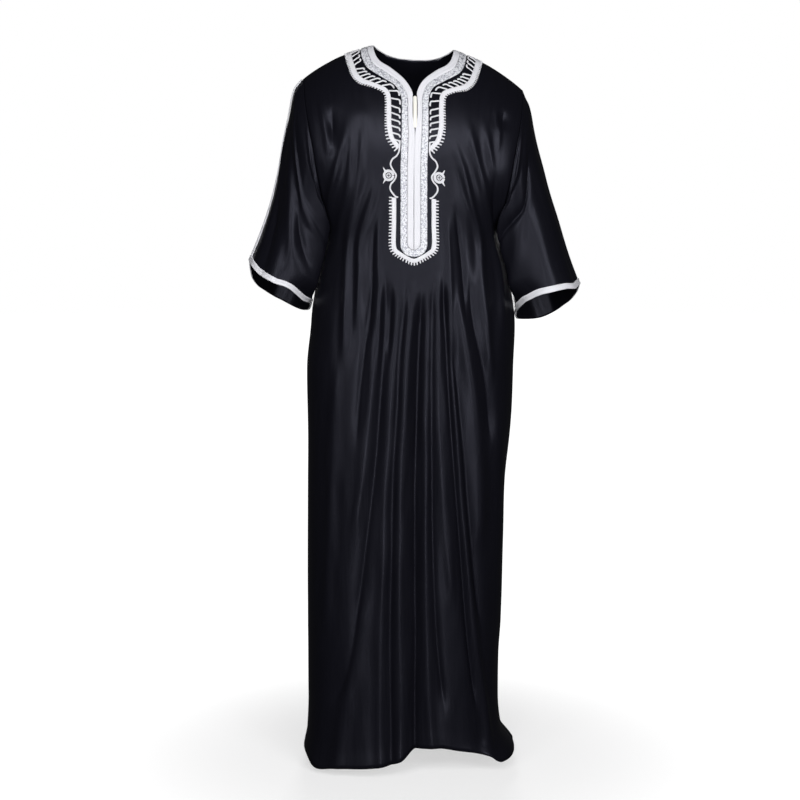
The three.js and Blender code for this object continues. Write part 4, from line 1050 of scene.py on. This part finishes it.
def borderGrids(lines, hand=1, bars=True, closeEnd=0):
    at, tips, inside = borderRun(lines)
    toward = inside - tips
    reach = np.linalg.norm(toward, axis=1, keepdims=True)
    toward = toward / reach
    centre = bandMiddle(tips[:, 1])
    late = smooth(0.76, 0.9, at / at[-1])
    tooth, pitch = mix(*lines["tooth"], late), mix(*lines["pitch"], late)

    def spot(distance, depth):      # a place by distance along the tips and depth from them
        k = int(np.clip(round(distance), 0, len(at) - 1))
        return (tips[k] + toward[k] * min(depth, reach[k, 0])) * [hand, 1] + [centre[k], 0]

    # the comb's back: a chevron braid
    depths, heights = border["section"]["share"] * lines["band"], border["section"]["height"]
    every = slice(None, None, 2)
    deep = np.minimum(tooth[every, None] + depths, reach[every])
    flat = (tips[every, None] + toward[every, None] * deep[..., None]) * [hand, 1]
    flat[..., 0] += centre[every, None]
    chevron = at[every, None] + np.abs(depths - 4) * border["rippleSlant"]
    ripple = border["ripple"] * np.sin(2 * math.pi * chevron / border["ripplePitch"])
    lift = heights + np.where(heights > 1, ripple, 0) + border["lift"]
    grids = [{"points": onCloth(flat[..., 0], flat[..., 1], lift),
              "uv": (at[every, None] + 0 * lift, depths[None, :] + 0 * lift), "flip": hand < 0}]
    distance = 0.0
    while distance <= at[-1]:
        k = int(distance)
        path = [spot(distance, depth)
                for depth in (tooth[k] + border["overlap"], tooth[k] / 2, 0)]
        grids.append(cordGrid(throughPoints(path, np.linspace(0, 1, 7)), border["toothWidth"],
                              border["toothHeight"], border["lift"], ring=7))
        distance += pitch[k]
    if bars:
        first = tooth[0] + lines["band"] - 0.8
        distance = border["barPitch"] / 2
        while distance < at[-1] - closeEnd:
            k = int(round(distance))
            way = 1 if inside[k, 0] < border["turnX"] and inside[k, 1] > 0 else -1
            level = inside[k, 1]
            slant = border["barSlant"] if level < 0 else mix(
                border["barSlantAtRidge"], border["barSlant"], smooth(20, 80, level))
            end = distance + way * slant
            last = reach[int(np.clip(round(end), 0, len(at) - 1)), 0] - border["barWidth"] / 2
            path = [spot(distance, first), spot(mix(distance, end, 0.5), mix(first, last, 0.5)),
                    spot(mix(distance, end, 0.93), mix(first, last, 0.93)),
                    spot(end + way * 2.4, last), spot(end + way * border["hook"], last)]
            grids.append(cordGrid(evenPoints(path, 1.1), border["barWidth"], border["barHeight"],
                                  border["lift"], ring=7))
            distance += border["barPitch"]
    return grids


comb = {"tooth": (4.0, 4.0), "pitch": (5.5, 5.5), "band": 9.4}
lowerComb = {"tooth": (5.4, 5.4), "pitch": (6.2, 6.2), "band": 9.0}
wholeBack = {key: [(-x, w) for x, w in line[:0:-1]] + line for key, line in halfBack.items()}
wholeLower = {key: line + [(-x, w) for x, w in line[-2::-1]] for key, line in halfLower.items()}
borders = {name: borderGrids(upperBorder, hand, closeEnd=26) for name, hand in hands.items()}
borders["back"] = borderGrids({**wholeBack, **comb})
borders["lower"] = borderGrids({**wholeLower, **lowerComb}, bars=False)
for name, grids in borders.items():
    borders[name] = makePiece("border" + name.capitalize(), "border_" + name, "cord", grids)
print("borders made")

vine = {
    "width": 3.4, "height": 2.4, "lift": 0.2,
    "line": [(29.4, 240), (29.4, 254), (30.6, 264), (35.2, 272), (42.5, 278.3), (46, 288),
             (41.5, 298.3), (35, 309), (38.2, 318.4), (45.3, 326.8), (46.5, 335.3), (41, 344.8),
             (34.5, 350.8), (30.5, 351)],
}
rosette = {
    "x": 49.5, "along": 309.6, "lift": 0.2, "leafBase": 9.4, "leaf": 9.0, "leafAngle": 53,
    "rings": ((10.1, 2.5), (7.6, 3.0)), "ringHeight": 2.2,   # mm, radius and cord width
    "petal": 4.4, "petalSpread": 0.62, "petalWidth": 1.7, "leafWidth": 5.0, "height": 2.0,
}


def rosetteGrids(hand):
    look, lift = rosette, rosette["lift"]
    centre = np.array([hand * look["x"] + bandMiddle(look["along"]), look["along"]])
    grids = []
    angle = np.linspace(0, 2 * math.pi, 49)
    for radius, width in look["rings"]:
        path = centre + radius * np.stack([np.cos(angle), np.sin(angle)], 1)
        grids.append(cordGrid(path, width, look["ringHeight"], lift))
    for k in range(4):      # four small loops that meet in the middle
        loop = np.linspace(-0.8, 0.8, 15) * math.pi
        tip = look["petal"] * np.cos(loop / 2)
        aim = math.pi / 2 * k + look["petalSpread"] * np.sin(loop)
        path = centre + np.stack([tip * np.cos(aim), tip * np.sin(aim)], 1)
        grids.append(cordGrid(path, look["petalWidth"], look["height"], lift, ring=6))
    for turn in (-1, 1):    # two curved leaf tips on the outer side, thick at the root
        aim = math.radians(look["leafAngle"])
        out = np.array([math.cos(aim) * hand, math.sin(aim) * turn])
        bend = np.array([0, turn])
        base = centre + out * look["leafBase"]
        path = throughPoints([base - bend * 1.2, base + out * 3.4 - bend * 0.3,
                              base + out * look["leaf"] + bend * 1.2], np.linspace(0, 1, 12))
        grids.append(cordGrid(path, look["leafWidth"], look["height"], lift, ring=7, taper=0.75))
    return grids


for name, hand in hands.items():
    line = np.array(vine["line"]) * [hand, 1]
    line[:, 0] += bandMiddle(line[:, 1])
    stem = cordGrid(evenPoints(line, 1.5), vine["width"], vine["height"], vine["lift"])
    for kind, grids in (("vine", [stem]), ("rosette", rosetteGrids(hand))):
        makePiece(kind + name.capitalize(), f"{kind}_{name}", "cord", grids)
print("vines and rosettes made")

studio = {
    "floorLevel": -1.475, "floorRadius": 13, "floorColour": "#f2f2f3", "backdropRadius": 14,
    "clearRadius": 0.25, "fadeRadius": 0.9,   # metres, the floor fades into the backdrop
    "floorGlow": 1.15, "floorGlowShare": 0.5, "ambient": 0.03, "lightAim": (0, 0, -0.55),
}


def makeFloor():
    bpy.ops.mesh.primitive_circle_add(
        vertices=96, radius=studio["floorRadius"], fill_type="NGON",
        location=(0, 0, studio["floorLevel"]))
    floor = bpy.context.object
    floor.name = "floor"
    material, tree = newMaterial("pale paper sweep")
    place = addNode(tree, "TexCoord")
    away = addNode(tree, "VectorMath", {0: place.outputs["Object"]}, operation="LENGTH")
    fade = addNode(tree, "MapRange", {
        "Value": away.outputs["Value"], "From Min": studio["clearRadius"],
        "From Max": studio["fadeRadius"], "To Min": studio["floorGlowShare"]},
        interpolation_type="SMOOTHSTEP")
    paper = addNode(tree, "BsdfPrincipled", {
        "Base Color": hexColour(studio["floorColour"]), "Roughness": 0.9})
    glow = addNode(tree, "Emission", {"Color": (1, 1, 1, 1), "Strength": studio["floorGlow"]})
    both = addNode(tree, "MixShader", {0: fade, 1: paper, 2: glow})
    addNode(tree, "OutputMaterial", {"Surface": both})
    floor.data.materials.append(material)
    floor.visible_diffuse = floor.visible_glossy = False


def makeBackdrop():
    bpy.ops.mesh.primitive_uv_sphere_add(segments=48, ring_count=24,
                                         radius=studio["backdropRadius"])
    dome = bpy.context.object
    dome.name = "backdrop"
    material, tree = newMaterial("white backdrop")
    glow = addNode(tree, "Emission", {"Color": (1, 1, 1, 1), "Strength": 1.0})
    addNode(tree, "OutputMaterial", {"Surface": glow})
    dome.data.materials.append(material)
    dome.visible_diffuse = dome.visible_glossy = dome.visible_shadow = False


makeFloor()
makeBackdrop()

world = bpy.data.worlds.new("studio")
world.use_nodes = True
world.node_tree.nodes["Background"].inputs["Color"].default_value = (1, 1, 1, 1)
world.node_tree.nodes["Background"].inputs["Strength"].default_value = studio["ambient"]
bpy.context.scene.world = world

# Softboxes: place and side in metres, power in watts
lights = {
    "keySoftbox": ((-0.5, -3.6, 1.3), 1.4, 64), "fillSoftbox": ((1.1, -3.6, 1.1), 1.4, 50),
    "lowSoftbox": ((0.0, -3.55, -1.1), 1.0, 32),
    "sideSoftboxRight": ((-1.9, -3.2, 0.0), 1.0, 34),
    "sideSoftboxLeft": ((1.9, -3.2, -0.1), 1.0, 42),
    # behind the robe's middle, so that they light the back and leave no rim at the front
    "rearSoftboxUpper": ((0, 3.6, 0.3), 0.8, 40), "rearSoftboxLower": ((0, 3.6, -1.0), 0.8, 30),
}
for name, (at, side, power) in lights.items():
    data = bpy.data.lights.new(name, "AREA")
    data.shape = "SQUARE"
    data.size, data.energy = side, power
    lamp = bpy.data.objects.new(name, data)
    lamp.location = at
    aim = Vector(studio["lightAim"]) - lamp.location
    lamp.rotation_euler = aim.to_track_quat("-Z", "Y").to_euler()
    bpy.context.scene.collection.objects.link(lamp)

# Metres and degrees; the focal length is in pixels of an 800 pixel frame
view = {"at": (-0.027, -3.5, -0.275), "tilt": 82.85, "focalPixels": 1705, "framePixels": 800}
cameraData = bpy.data.cameras.new("camera")
cameraData.sensor_width = 36
cameraData.lens = view["focalPixels"] / view["framePixels"] * cameraData.sensor_width
camera = bpy.data.objects.new("camera", cameraData)
camera.location = view["at"]
camera.rotation_euler = (math.radians(view["tilt"]), 0, 0)
bpy.context.scene.collection.objects.link(camera)
bpy.context.scene.camera = camera
bpy.context.scene.view_settings.view_transform = "Standard"
print("studio set")
